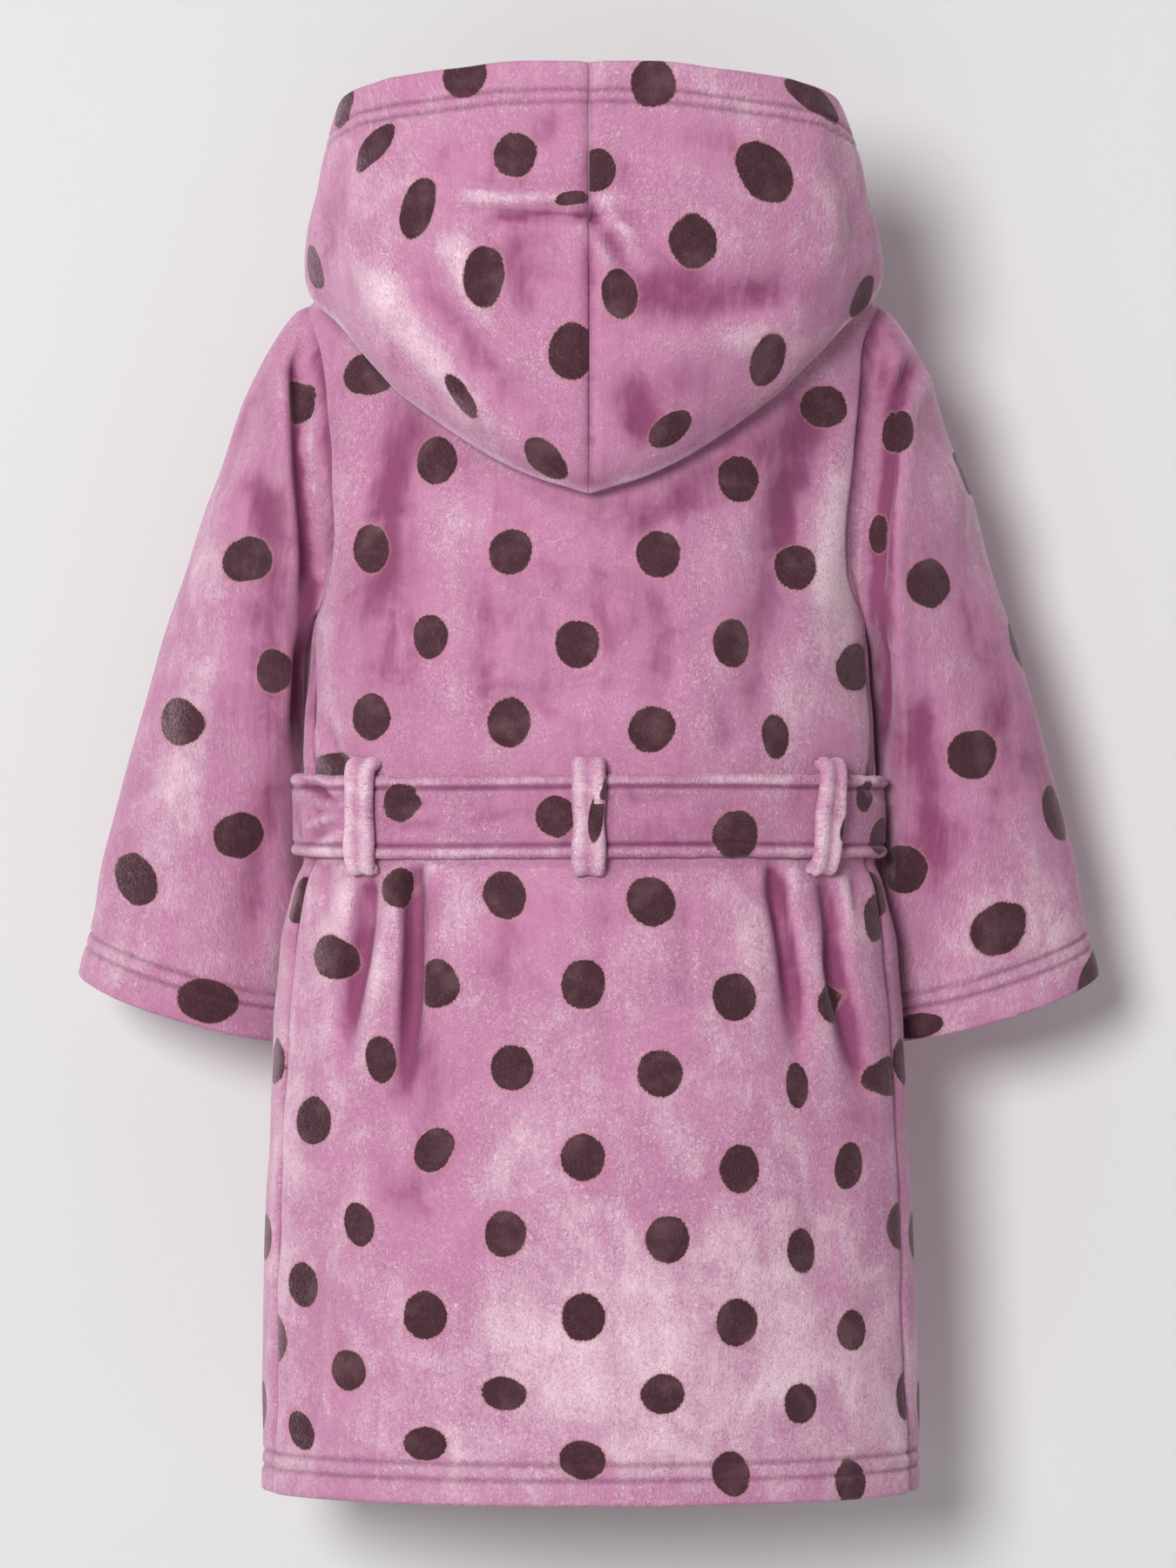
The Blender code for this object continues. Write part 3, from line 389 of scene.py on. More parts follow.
# Dots as sighted, by their middles in mm. One with an oval has its half length, its half width and the
# tilt of its length in degrees, as they are sighted; the others are round on the cloth.
Dot = namedtuple("Dot", "x z half_length half_width tilt", defaults=(0, 0, 0))
BACK_DOTS = [
    Dot(-74.6, -91.6, 11.5, 9.6, 89), Dot(72, -102), Dot(112, -66, 11.5, 10.2, 0),
    Dot(-106, -50, 12.4, 10.3, 0), Dot(-106.2, -133.3, 11.8, 9.0, 94), Dot(-37.9, -134.7),
    Dot(33, -137), Dot(100.6, -142.2, 10.9, 10.0, 81), Dot(-76.1, -176.3, 10.7, 8.2, 89),
    Dot(-4.5, -179), Dot(68, -181, 11.5, 9.5, 95), Dot(128, -191, 11.5, 8.0, 82),
    Dot(-105, -215, 11.0, 9.6, 90), Dot(-39.4, -218.4, 11.9, 10.1, 90),
    Dot(31.1, -221.2, 11.4, 10.6, 43), Dot(91, -225, 10.5, 6.4, 95), Dot(-40, -300.5, 11.5, 9.9, 104),
    Dot(30.9, -305.4, 12.4, 11.0, 135), Dot(-92, -297, 9.5, 10.0, 90), Dot(137, -312, 11.5, 5.2, 92),
    Dot(-122.8, -331.1, 12.4, 10.1, 147), Dot(-73, -345, 11.5, 8.5, 90), Dot(-3.4, -344),
    Dot(71, -351, 11.4, 10.4, 106), Dot(118, -353, 10.5, 5.0, 95), Dot(-99.7, -381.6, 11.1, 7.5, 95),
    Dot(-38, -385), Dot(35.6, -388.7), Dot(101.3, -391.8, 11.0, 5.6, 94),
    Dot(145, -388.7, 10.1, 8.9, 51), Dot(-132.4, -410.6, 11.1, 8.1, 87),
    Dot(-75, -425.5, 11.2, 8.4, 60), Dot(-3.2, -426.9), Dot(71.7, -433.4),
    Dot(124.9, -432.9, 11.2, 6.4, 80), Dot(-110.1, -460.1, 10.6, 7.2, 104), Dot(-40, -465.6),
    Dot(36.9, -467.1), Dot(103.1, -473, 11.0, 7.2, 99), Dot(149, -461, 11.0, 5.5, 90),
    Dot(-139, -489, 10.6, 6.6, 95), Dot(-79.5, -503.5), Dot(-2.7, -506.2), Dot(72.3, -506.3),
    Dot(127.8, -511, 9.6, 6.8, 87), Dot(-154, -517), Dot(-115, -532, 10.0, 8.2, 90),
    Dot(-40.7, -541.5, 10.9, 8.0, 172), Dot(36.5, -540.6, 10.5, 9.4, 0),
    Dot(102.1, -545.7, 9.4, 7.8, 93), Dot(151, -544, 11.5, 3.8, 87), Dot(-138.4, -558.7, 9.4, 5.8, 109),
    Dot(-79.7, -567, 10.5, 7.9, 0), Dot(-4.3, -573.8, 10.8, 9.2, 167),
    Dot(69.3, -580.3, 10.6, 8.6, 112), Dot(125, -584.5, 10.8, 7.4, 95), Dot(-126, -240, 11.0, 7.0, 10),
]
HOOD_DOTS = [
    Dot(-61, 94), Dot(31, 90, 11.5, 10.6, 80), Dot(110, 82, 15.3, 5.2, -38), Dot(-119, 79),
    Dot(-105, 60, 14.0, 5.5, 51), Dot(-34.5, 56.7, 10.9, 10.1, 60), Dot(4, 49, 10.2, 8.8, 90),
    Dot(83.8, 45.8, 16.2, 11.7, -56), Dot(-81.5, 29.4, 14.6, 7.9, 72), Dot(-9, 32.5, 8.2, 3.6, 8),
    Dot(51, 12.6, 13.1, 11.2, 100), Dot(-50.6, -3, 14.7, 9.5, 90), Dot(15, -9.7, 11.7, 8.7, 95),
    Dot(-134, 0), Dot(129, -12), Dot(-98, -26.5, 11.5, 8.2, 100), Dot(-8, -39, 13.0, 11.0, 90),
    Dot(87, -43, 13.2, 7.9, 72), Dot(-60.6, -60, 12.3, 4.4, -55), Dot(40, -76.4, 11.6, 6.3, 38),
    Dot(-21.4, -92, 12.8, 6.8, -43),
]
SLEEVE_LEFT_DOTS = [
    Dot(-137.5, -62, 12.0, 5.4, 97), Dot(-166, -139, 12.6, 11.2, 15), Dot(-151, -193, 10.6, 8.8, 80),
    Dot(-197.5, -219, 12.2, 10.9, 143), Dot(-168, -272, 12.8, 10.8, 10),
    Dot(-220, -294.4, 13.6, 10.6, 125), Dot(-185, -352.4, 15.0, 10.8, 170),
]
SLEEVE_RIGHT_DOTS = [
    Dot(147.5, -77, 11.0, 8.0, 80), Dot(136, -129, 10.4, 4.2, 88), Dot(164, -150, 12.0, 11.4, 80),
    Dot(181, -99), Dot(185, -233, 13.2, 11.4, 24), Dot(226.6, -262.6, 13.9, 4.8, 105),
    Dot(152, -288, 12.0, 9.0, 95), Dot(198, -319, 15.0, 12.0, 32), Dot(242.5, -338.5, 11.4, 4.6, 75),
    Dot(159, -365, 12.0, 6.0, 10), Dot(207, -181),
]
BELT_DOTS = [
    Dot(-88.5, -257), Dot(-14.5, -264), Dot(69.3, -272, 12.6, 11.6, 80), Dot(129.5, -254, 9.0, 4.5, 85),
    Dot(140.5, -273, 9.0, 3.8, 80),
]
LOOP_DOTS = {
    "left": [],
    "centre": [Dot(3.5, -266, 11.5, 3.6, 84), Dot(8, -250, 6, 2.5, 70)],
    "right": [Dot(125, -270, 6, 2.2, 80)],
}
DOT_RADIUS = 0.0107
DOT_ROW, DOT_PITCH = 0.041, 0.074
DOT_SPACE = 0.034  # the least from middle to middle
NO_DOT = 9  # a place in a dot that is far outside it

# Where the cloth is coloured paler (or, below zero, deeper): in part the nap's own brushed patches, in
# part painted light and painted shade, such as the shadow below the hood's edge, the shade in the sleeves
# beside the torso and the lighter lower skirt. Middle and half sizes as sighted, in mm, and the tilt in
# degrees.
NapAndPaintedLight = namedtuple("NapAndPaintedLight", "x z half_x half_z tilt pale")
NAP_AND_PAINTED_LIGHT = [
    NapAndPaintedLight(-96, 8, 20, 52, 28, 0.45),
    NapAndPaintedLight(-64, 58, 34, 14, 0, -0.20),
    NapAndPaintedLight(-34, 4, 22, 30, 0, -0.35),
    NapAndPaintedLight(-52, -46, 26, 10, 42, 0.10),
    NapAndPaintedLight(20, 52, 40, 12, 0, -0.35),
    NapAndPaintedLight(84, 64, 40, 12, 0, -0.10),
    NapAndPaintedLight(36, -14, 20, 34, 8, -0.45),
    NapAndPaintedLight(88, -10, 34, 9, 8, -0.15),
    NapAndPaintedLight(84, -40, 34, 9, -35, 0.30),
    NapAndPaintedLight(124, 44, 8, 36, -6, 0.45),
    NapAndPaintedLight(30, -66, 28, 20, 0, -0.60),
    # Painted shadow below the hood's lower edge, in these three
    NapAndPaintedLight(78, -88, 34, 15, 38, -1.00),
    NapAndPaintedLight(30, -118, 24, 9, 22, -0.60),
    NapAndPaintedLight(-64, -92, 30, 8, -40, -0.45),
    NapAndPaintedLight(0, -165, 66, 50, 0, -0.45),
    NapAndPaintedLight(-96, -165, 17, 70, 5, -0.25),
    NapAndPaintedLight(-62, -150, 12, 60, -4, 0.10),
    NapAndPaintedLight(-50, -200, 20, 34, 0, -0.20),
    NapAndPaintedLight(118, -140, 14, 60, 3, 0.80),
    NapAndPaintedLight(92, -190, 11, 40, 8, 0.50),
    NapAndPaintedLight(-127, -180, 5, 60, 4, 0.45),
    NapAndPaintedLight(134, -240, 8, 60, 0, 0.30),
    NapAndPaintedLight(-20, -330, 50, 26, 0, -0.20),
    NapAndPaintedLight(14, -336, 22, 30, 0, 0.30),
    NapAndPaintedLight(-146, -390, 9, 60, 0, 0.55),
    NapAndPaintedLight(-72, -392, 14, 44, 4, -0.60),
    NapAndPaintedLight(0, -400, 90, 30, 0, 0.10),
    NapAndPaintedLight(-38, -430, 18, 26, 0, 0.30),
    # Painted light on the lower skirt
    NapAndPaintedLight(10, -510, 130, 60, 0, 0.70),
    NapAndPaintedLight(0, -572, 150, 16, 0, 0.15),
    NapAndPaintedLight(-84, -468, 16, 46, 24, -0.50),
    NapAndPaintedLight(-100, -505, 30, 12, -20, -0.35),
    NapAndPaintedLight(96, -340, 8, 70, 4, 0.30),
    NapAndPaintedLight(112, -500, 26, 50, 0, 0.50),
    NapAndPaintedLight(146, -560, 16, 40, 0, 0.50),
    NapAndPaintedLight(-152, -460, 6, 120, 0, 0.30),
    NapAndPaintedLight(-200, -230, 22, 70, -20, 0.75),
    # Painted shade in the left sleeve beside the torso
    NapAndPaintedLight(-150, -175, 11, 100, -4, -0.90),
    NapAndPaintedLight(-135, -70, 4, 36, 12, 0.80),
    NapAndPaintedLight(-172, -290, 24, 24, 0, -0.15),
    NapAndPaintedLight(-212, -335, 40, 14, -16, 0.35),
    NapAndPaintedLight(140, -44, 9, 26, 12, -0.60),
    NapAndPaintedLight(184, -130, 14, 60, 18, 0.60),
    # Painted shade in the right sleeve beside the torso, in these two
    NapAndPaintedLight(143, -120, 8, 60, 2, -0.70),
    NapAndPaintedLight(156, -240, 13, 90, 4, -0.70),
    NapAndPaintedLight(196, -270, 22, 22, 0, -0.30),
    NapAndPaintedLight(222, -300, 14, 44, 14, 0.50),
    NapAndPaintedLight(190, -325, 34, 22, 14, 0.45),
]

# Where the cloth bulges or draws in sideways beyond its plain form: middle and half sizes as sighted, and
# the shift across, all in mm.
Bulge = namedtuple("Bulge", "x z half_x half_z shift")
BULGES = [
    Bulge(140, 0, 26, 26, 4.5),
    Bulge(-136, 48, 26, 30, 3.0),
    Bulge(166, -40, 30, 24, 4.0),
    Bulge(178, -104, 30, 22, 3.0),
    Bulge(158, -560, 30, 50, 2.2),
    Bulge(-70, 96, 26, 6, -2.0),
    Bulge(122, -76, 14, 50, 6.0),
    Bulge(-128, -95, 12, 34, -4.5),
]


# Colours, as linear light
# Pale and deep are the nap's own tones, and also the colours of the painted highlights and painted shade
PALE = (0.83, 0.60, 0.69)
MIDDLE = (0.52, 0.222, 0.368)
DEEP = (0.250, 0.062, 0.145)
BELT_MIDDLE = (0.47, 0.195, 0.330)
DOT = (0.060, 0.021, 0.031)
DOT_LIT = (0.150, 0.075, 0.088)
DOT_RIM = (0.46, 0.22, 0.19)
BACKDROP = (0.76, 0.76, 0.76)


# The gown's form, as in its solids


def spline(table, key, column):
    """A smooth curve through a table's column, as a function of another, that never overshoots a row."""
    xs = np.array([getattr(row, key) for row in table], float)
    ys = np.array([getattr(row, column) for row in table], float)
    steps = np.diff(xs)
    climbs = np.diff(ys) / steps
    slopes = np.empty(len(xs))
    slopes[0], slopes[-1] = climbs[0], climbs[-1]
    before, after = climbs[:-1], climbs[1:]
    together = before * after > 0
    slopes[1:-1] = np.where(together, 2 * before * after / np.where(together, before + after, 1), 0)

    def value(x):
        x = np.clip(x, xs[0], xs[-1])
        i = np.clip(np.searchsorted(xs, x, side="right") - 1, 0, len(steps) - 1)
        t = (x - xs[i]) / steps[i]
        start = ys[i] + slopes[i] * steps[i] * t * (1 - t)
        end = ys[i + 1] - slopes[i + 1] * steps[i] * t * (1 - t)
        ease = t * t * (3 - 2 * t)
        return start * (1 - ease) + end * ease

    return value


def smoothstep(low, high, x):
    t = np.clip((x - low) / (high - low), 0, 1)
    return t * t * (3 - 2 * t)


def stack(x, y, z):
    return np.stack(np.broadcast_arrays(x, y, z), axis=-1)


half_width = spline(SECTIONS, "z", "half_width")
half_depth = spline(SECTIONS, "z", "half_depth")
side_seam_angle = spline(SIDE_SEAM, "rise", "angle")
front_edge_across = spline(FRONT_EDGES, "rise", "across")


def dome_base(angle):
    shoulder_x = SHOULDER_HALF_WIDTH * np.abs(np.sin(angle))
    return NECK_TOP_Z - SHOULDER_SLOPE * (shoulder_x - NECK_HALF_WIDTH) - DOME_HEIGHT


def fold_depth(angle, z):
    """How far the cloth lies inside its plain section, from the troughs and their ridges."""
    total = np.zeros(np.broadcast(angle, z).shape)
    degrees = (np.degrees(angle) + 180) % 360 - 180
    for fold in FOLDS:
        down = np.clip((fold.top - z) / (fold.top - fold.bottom), 0, 1)
        slant = down * (fold.bottom_angle - fold.top_angle)
        across = (degrees - fold.top_angle - slant) / fold.half_angle
        fade = smoothstep(fold.top + 0.006, fold.top - 0.010, z) * (1 - smoothstep(0.35, 1.0, down))
        total += fold.depth * fade * (np.exp(-(across**2)) - 0.3 * np.exp(-((np.abs(across) - 1.9) ** 2)))
    return total


def body(angle, rise, out=0.0):
    """A point of the body's outer face. A positive angle is towards +X."""
    base = dome_base(angle)
    turn = np.clip((rise - base) / DOME_LENGTH, 0, 1) * pi / 2
    z = np.where(rise < base, rise, base + DOME_HEIGHT * np.sin(turn))
    a = half_width(z)
    b = half_depth(z)
    normal_x = np.sin(angle) / a
    normal_y = -np.cos(angle) / b
    length = np.hypot(normal_x, normal_y)
    push = (out - fold_depth(angle, z)) / length
    x = a * np.sin(angle) + normal_x * push * np.cos(turn)
    y = -b * np.cos(angle) * np.cos(turn) + SHOULDER_SEAM_Y * (1 - np.cos(turn))
    return stack(x, y + normal_y * push * np.cos(turn), z + out * np.sin(turn))


def top_rise(angle):
    """How far up the cloth of the back goes: to the shoulder seam, or to the neck edge."""
    inside = np.clip(1 - (angle / NECK_ANGLE) ** 2, 0, 1)
    turn = np.arccos(NECK_BACK_DEPTH * np.sqrt(inside))
    return dome_base(angle) + DOME_LENGTH * turn / (pi / 2)


def armhole_rise(turn):
    """The rise of the armhole's edge, from the shoulder tip (0) to the underarm (pi)."""
    return UNDERARM_RISE + (top_rise(SHOULDER_TIP) - UNDERARM_RISE) * (1 + np.cos(turn)) / 2


def spread(row, top):
    """The rise of a row in a column of cloth that ends at the given top."""
    tip_rise = top_rise(SHOULDER_TIP)
    return row + (top - tip_rise) * np.clip((row - LOW_CHEST_RISE) / (tip_rise - LOW_CHEST_RISE), 0, 1)


def side_angle(rise, panel):
    """The angle at which the back or the front ends."""
    beside_armhole = spline(ARMHOLE, "rise", f"{panel}_angle")(rise)
    return np.radians(np.where(rise < UNDERARM_RISE, side_seam_angle(rise), beside_armhole))


def unit(vectors):
    return vectors / np.maximum(np.linalg.norm(vectors, axis=-1, keepdims=True), 1e-12)


def normals(points):
    """Unit normals of a grid of points."""
    return unit(np.cross(np.gradient(points, axis=1), np.gradient(points, axis=0)))


def facing_of(surface, across, up, across_step=0.01, up_step=0.001):
    """The directions that a surface's outer face turns to, from small steps over it both ways."""
    sideways = surface(across + across_step, up) - surface(across - across_step, up)
    upwards = surface(across, up + up_step) - surface(across, up - up_step)
    return unit(np.cross(sideways, upwards))


def lap_lift(angle, rise):
    """The upper front stands over the lower one from beside the centre front on, below the open neck."""
    from_front = pi - angle
    return LAP_LIFT * smoothstep(*LAP_REACH, from_front) * smoothstep(*LAP_RISE, rise)


def armhole(turn):
    """The armhole's edge, from the shoulder tip (0) by the back to the underarm (pi) and by the front."""
    rise = armhole_rise(turn)
    beside = ARMHOLE_GAP / half_depth(0) * np.sin(turn)
    angle = np.where(np.sin(turn) >= 0, side_angle(rise, "back"), side_angle(rise, "front")) + beside
    return angle, rise - ARMHOLE_GAP * np.cos(turn)


def sleeve_surface(turn, along):
    """The sleeve on the +X side. Its turn is 0 at the outer line, then back, inner line and front."""

    def column(name):
        return spline(SLEEVE, "along", name)(along)

    outer = stack(column("outer_x"), 0, column("outer_z"))
    inner = stack(column("inner_x"), 0, column("inner_z"))
    depth = column("half_depth")
    middle = (outer + inner) / 2 + stack(0, column("middle_y"), 0)
    bow = CUFF_BOW * smoothstep(0.5, 1, along)
    ring = middle + (outer - inner) / 2 * np.cos(turn)[..., None]
    ring = ring + stack(0, -depth * np.sin(turn), -depth * bow * np.sin(turn))
    own = smoothstep(0, SLEEVE_BLEND, along)[..., None]
    points = body(*armhole(turn)) * (1 - own) + ring * own
    beside = smoothstep(0.35, 0.75, np.abs(np.sin(turn))) * smoothstep(0.9, 0.3, np.cos(turn))
    groove = GROOVE_DEPTH * beside * np.exp(-(((along - GROOVE_AT) / GROOVE_SPREAD) ** 2))
    points[..., 1] += groove * smoothstep(0, 0.02, along) * np.sign(np.sin(turn))
    return points


def over_shoulder(across, turn, out):
    """A point off the body by its share of the shoulder width and its degrees over the shoulder."""
    behind = turn <= 90
    angle = np.where(behind, np.arcsin(across), pi - np.arcsin(across))
    return body(angle, dome_base(angle) + DOME_LENGTH * np.where(behind, turn, 180 - turn) / 90, out)


def neck_seam(along):
    """Where the hood is sewn on, as across and turn: the back's neck edge, then the front's edge."""
    back_angle = NECK_ANGLE * np.sin(np.clip(along / HOOD_NECK_TURN, 0, 1) * pi / 2)
    back_turn = 90 * (top_rise(back_angle) - dome_base(back_angle)) / DOME_LENGTH
    before = np.clip((along - HOOD_NECK_TURN) / (1 - HOOD_NECK_TURN), 0, 1)
    neck_rise = top_rise(NECK_ANGLE)
    rise = neck_rise + (HOOD_FRONT_RISE - neck_rise) * before
    across = front_edge_across(rise) / half_width(rise)
    front_turn = 180 - 90 * (rise - dome_base(np.arcsin(across))) / DOME_LENGTH
    behind = along < HOOD_NECK_TURN
    return np.where(behind, np.sin(back_angle), across), np.where(behind, back_turn, front_turn)


def bezier(a, b, c, d, t):
    t = t[..., None]
    return a * (1 - t) ** 3 + 3 * b * t * (1 - t) ** 2 + 3 * c * t**2 * (1 - t) + d * t**3


def hood_surface(along, over):
    """The hood on the +X side: from the neck seam (over = 0) down to its fold and up to its edge (1)."""

    def column(name):
        return spline(HOOD, "along", name)(along)

    across, turn = neck_seam(along)
    down = np.clip(over / HOOD_FOLD_SHARE, 0, 1)
    ease = np.sin(down * pi / 2)
    across = across + (column("fold_across") - across) * ease
    turn = turn + (column("fold_turn") - turn) * ease
    stand = HOOD_CLEAR + HOOD_ROLL * np.exp(-(((down - 0.18) / 0.12) ** 2)) * smoothstep(0, 0.1, down)
    stand = stand + column("fold_out") * (1 - np.cos(down * pi / 2))
    under = over_shoulder(across, turn, stand)

    out = HOOD_CLEAR + column("fold_out")
    fold = over_shoulder(column("fold_across"), column("fold_turn"), out)
    away = unit(over_shoulder(column("fold_across"), column("fold_turn"), out + 0.01) - fold)
    edge = stack(column("edge_x"), column("edge_y"), column("edge_z"))
    belly = column("belly")[..., None]
    level = unit(stack(column("edge_x"), column("edge_y"), 0 * along))
    below_edge = edge + level * belly * 0.6 - np.array([0, 0, 1.7]) * belly
    up = np.clip((over - HOOD_FOLD_SHARE) / (1 - HOOD_FOLD_SHARE), 0, 1)
    outer = bezier(fold, fold + away * belly * 0.9, below_edge, edge, up)
    return np.where((over < HOOD_FOLD_SHARE)[..., None], under, outer)


def waist_point(angle, out, z):
    """A point that stands off the body near the belt, where the upper front adds its thickness."""
    start, full = (pi - reach for reach in LAP_REACH)
    lift = LAP_LIFT * smoothstep(start, full, np.abs(angle))
    return body(angle, z, lift + out)


# Finer form


def sighted(points):
    """Where points are seen from the camera, on the plane through the neck: across and up, in mm."""
    nearer = CAMERA_DISTANCE / (CAMERA_DISTANCE + points[..., 1])
    x = points[..., 0] * nearer
    z = CAMERA_Z + (points[..., 2] - CAMERA_Z) * nearer
    return np.stack([x, z], axis=-1) * 1000


def bulged(points):
    """The cloth moved sideways where it bulges or draws in."""
    places = sighted(points)
    points = points.copy()
    for bulge in BULGES:
        across = (places[..., 0] - bulge.x) / bulge.half_x
        up = (places[..., 1] - bulge.z) / bulge.half_z
        points[..., 0] += bulge.shift / 1000 * np.exp(-(across**2) - up**2)
    return points


def smooth_line(line, steps=24):
    """A smooth line through a few points."""
    places = np.array(line, float)
    slopes = np.gradient(places, axis=0)
    t = np.linspace(0, len(places) - 1, steps)
    i = np.clip(t.astype(int), 0, len(places) - 2)
    s = (t - i)[:, None]
    hermite = (2 * s**3 - 3 * s**2 + 1) * places[i] + (s**3 - 2 * s**2 + s) * slopes[i]
    return hermite + (3 * s**2 - 2 * s**3) * places[i + 1] + (s**3 - s**2) * slopes[i + 1]


def beside_line(places, line):
    """How far places lie from a line, and the share of its length before their nearest point on it."""
    corners = smooth_line(line)
    steps = np.diff(corners, axis=0)
    lengths = np.linalg.norm(steps, axis=1)
    runs = np.concatenate([[0], np.cumsum(lengths)])
    nearest = np.full(places.shape[:-1], np.inf)
    share = np.zeros(places.shape[:-1])
    for start, step, length, run in zip(corners, steps, lengths, runs):
        t = np.clip(((places - start) @ step) / length**2, 0, 1)
        gap = np.linalg.norm(places - start - t[..., None] * step, axis=-1)
        closer = gap < nearest
        nearest = np.where(closer, gap, nearest)
        share = np.where(closer, (run + t * length) / runs[-1], share)
    return nearest, share


def crease_depth(places, creases):
    """How far the creases press the cloth in, in metres."""
    depth = np.zeros(places.shape[:-1])
    for crease in creases:
        gap, share = beside_line(places, crease.line)
        across = gap / crease.width
        fade = smoothstep(0, crease.fade_in + 0.01, share)
        fade = fade * smoothstep(1, 1 - crease.fade_out - 0.01, share)
        profile = np.exp(-(across**2)) - crease.ridge * np.exp(-((across - 2.1) ** 2))
        depth += crease.depth / 1000 * fade * profile
    return depth


def unevenness(across, up, size, seed):
    """Soft lumps of the given size over a piece, about from -1 to 1."""
    rng = np.random.default_rng(seed)
    total = np.zeros(across.shape)
    for _ in range(14):
        heading = rng.uniform(0, 2 * pi)
        wave = rng.uniform(1.6, 3.6) / size
        start = rng.uniform(0, 2 * pi)
        total += np.sin((across * np.cos(heading) + up * np.sin(heading)) * wave + start)
    return total / 5


def run_along(points, axis):
    """The length of cloth from the grid's first row or column to each point."""
    steps = np.linalg.norm(np.diff(points, axis=axis), axis=-1)
    first = np.zeros_like(np.take(steps, [0], axis=axis))
    return np.concatenate([first, np.cumsum(steps, axis=axis)], axis=axis)


def seam_dip(gap):
    return SEAM_DIP * np.exp(-((gap / SEAM_SPREAD) ** 2))


def armhole_dip(gap, z):
    """The armhole's seam lies deep, apart from near the underarm and over the shoulder."""
    beside = smoothstep(*ARMHOLE_LOW, z) * smoothstep(*ARMHOLE_HIGH, z)
    return ARMHOLE_DIP * np.exp(-((gap / ARMHOLE_SPREAD) ** 2)) * beside


def underarm_calm(points):
    """Near the underarm the cloth keeps its plain form, as a share."""
    rise = np.array(UNDERARM_RISE)
    x, _, z = body(side_angle(rise, "back"), rise)
    from_underarm = np.linalg.norm(np.abs(points) * [1, 0, 1] - [x, 0, -z], axis=-1)
    return smoothstep(*UNDERARM_REACH, from_underarm)


def stitch_row(gap):
    return np.exp(-((gap / STITCH_SPREAD) ** 2))


def hem_stitches(gap, hem):
    """The two rows of stitches that hold a hem, by how far each place is from the edge."""
    return np.maximum(stitch_row(gap - hem.near), stitch_row(gap - hem.far))


def hem_fullness(gap, hem):
    """The second layer of cloth in a hem, as a share."""
    return smoothstep(hem.far + 0.0015, hem.far - 0.002, gap)


def rounded(gap, thickness):
    """The share of its thickness that cloth has near a soft edge."""
    half = thickness / 2
    return np.sqrt(np.clip(1 - (1 - np.clip(gap / half, 0, 1)) ** 2, 0.01, 1))


def edge_stops(length, step, hem_at_end=False):
    """Places along a length: close together near its hem and a step apart elsewhere."""
    start, end = HEM_STOPS, np.array([length])
    if hem_at_end:
        start, end = np.array([0.0]), length - HEM_STOPS[::-1]
    count = max(2, round((end[0] - start[-1]) / step))
    return np.concatenate([start, np.linspace(start[-1], end[0], count + 1)[1:-1], end])


# Dots


def nearest_places(points, dots, seen):
    """The grid places whose sighted points lie nearest to the dots, on the side that faces the camera."""
    places = sighted(points)
    found = []
    for dot in dots:
        gap = np.where(seen, np.linalg.norm(places - [dot.x, dot.z], axis=-1), np.inf)
        found.append(np.unravel_index(np.argmin(gap), gap.shape))
    return found


def oval_on_cloth(dot, sideways, upwards):
    """Turns a place on the cloth, from a dot's middle, into shares of the oval that is sighted."""
    seen = np.array([[sideways[0], upwards[0]], [sideways[2], upwards[2]]])
    tilt = np.radians(dot.tilt)
    along = np.array([np.cos(tilt), np.sin(tilt)]) / (dot.half_length / 1000)
    beside = np.array([-np.sin(tilt), np.cos(tilt)]) / (dot.half_width / 1000)
    return np.array([along, beside]) @ seen


def print_dots(outer, facing, across, up, dots, hidden, seed):
    """A piece's printed dots: their middles, the cloth's own directions there, and what turns a place on
    the cloth into shares of the dot.

    Those that are sighted are found on the side that faces the camera. Where there are hidden ones, the
    rest of the piece takes the print's staggered rows.
    """
    found = nearest_places(outer, dots, facing[..., 1] < -0.05)
    for number, row in enumerate(np.arange(up.min(), up.max() + DOT_ROW, DOT_ROW) if hidden else []):
        for column in np.arange(across.min() - DOT_PITCH, across.max() + DOT_PITCH, DOT_PITCH):
            gap = np.hypot(across - column - DOT_PITCH / 2 * (number % 2), up - row)
            at = np.unravel_index(np.argmin(gap), gap.shape)
            shown = len(dots) > 0 and facing[at][1] < 0.35
            near = any(np.linalg.norm(outer[at] - outer[other]) < DOT_SPACE for other in found)
            if gap[at] < DOT_RADIUS and not shown and not near:
                found.append(at)
    rng = np.random.default_rng(seed)
    rows, columns = np.array(found).T
    sideways = unit(np.gradient(outer, axis=1)[rows, columns])
    upwards = unit(np.cross(facing[rows, columns], sideways))
    turns = [np.diag([1.03, 0.96] / (DOT_RADIUS * rng.uniform(0.97, 1.04, 2))) for _ in found]
    for number, dot in enumerate(dots):
        if dot.half_length:
            turns[number] = oval_on_cloth(dot, sideways[number], upwards[number])
    return outer[rows, columns], sideways, upwards, np.array(turns)


def within_dots(corners, dots, reach=0.024):
    """Each face corner's place in the dot nearest to its face. The dot's rim is 1 from its middle."""
    middles, sideways, upwards, turns = dots
    centre = corners.mean(axis=1)
    nearest = np.argmin(np.linalg.norm(centre[:, None] - middles[None], axis=-1), axis=1)
    from_middle = corners - middles[nearest][:, None]
    along = np.sum(from_middle * sideways[nearest][:, None], -1)
    beside = np.sum(from_middle * upwards[nearest][:, None], -1)
    far = np.linalg.norm(from_middle, axis=-1)
    flat = unit(np.stack([along, beside], -1)) * far[..., None]
    within = np.einsum("nij,nkj->nki", turns[nearest], flat)
    within[np.min(far, axis=1) > reach] = NO_DOT
    return within


# Meshes


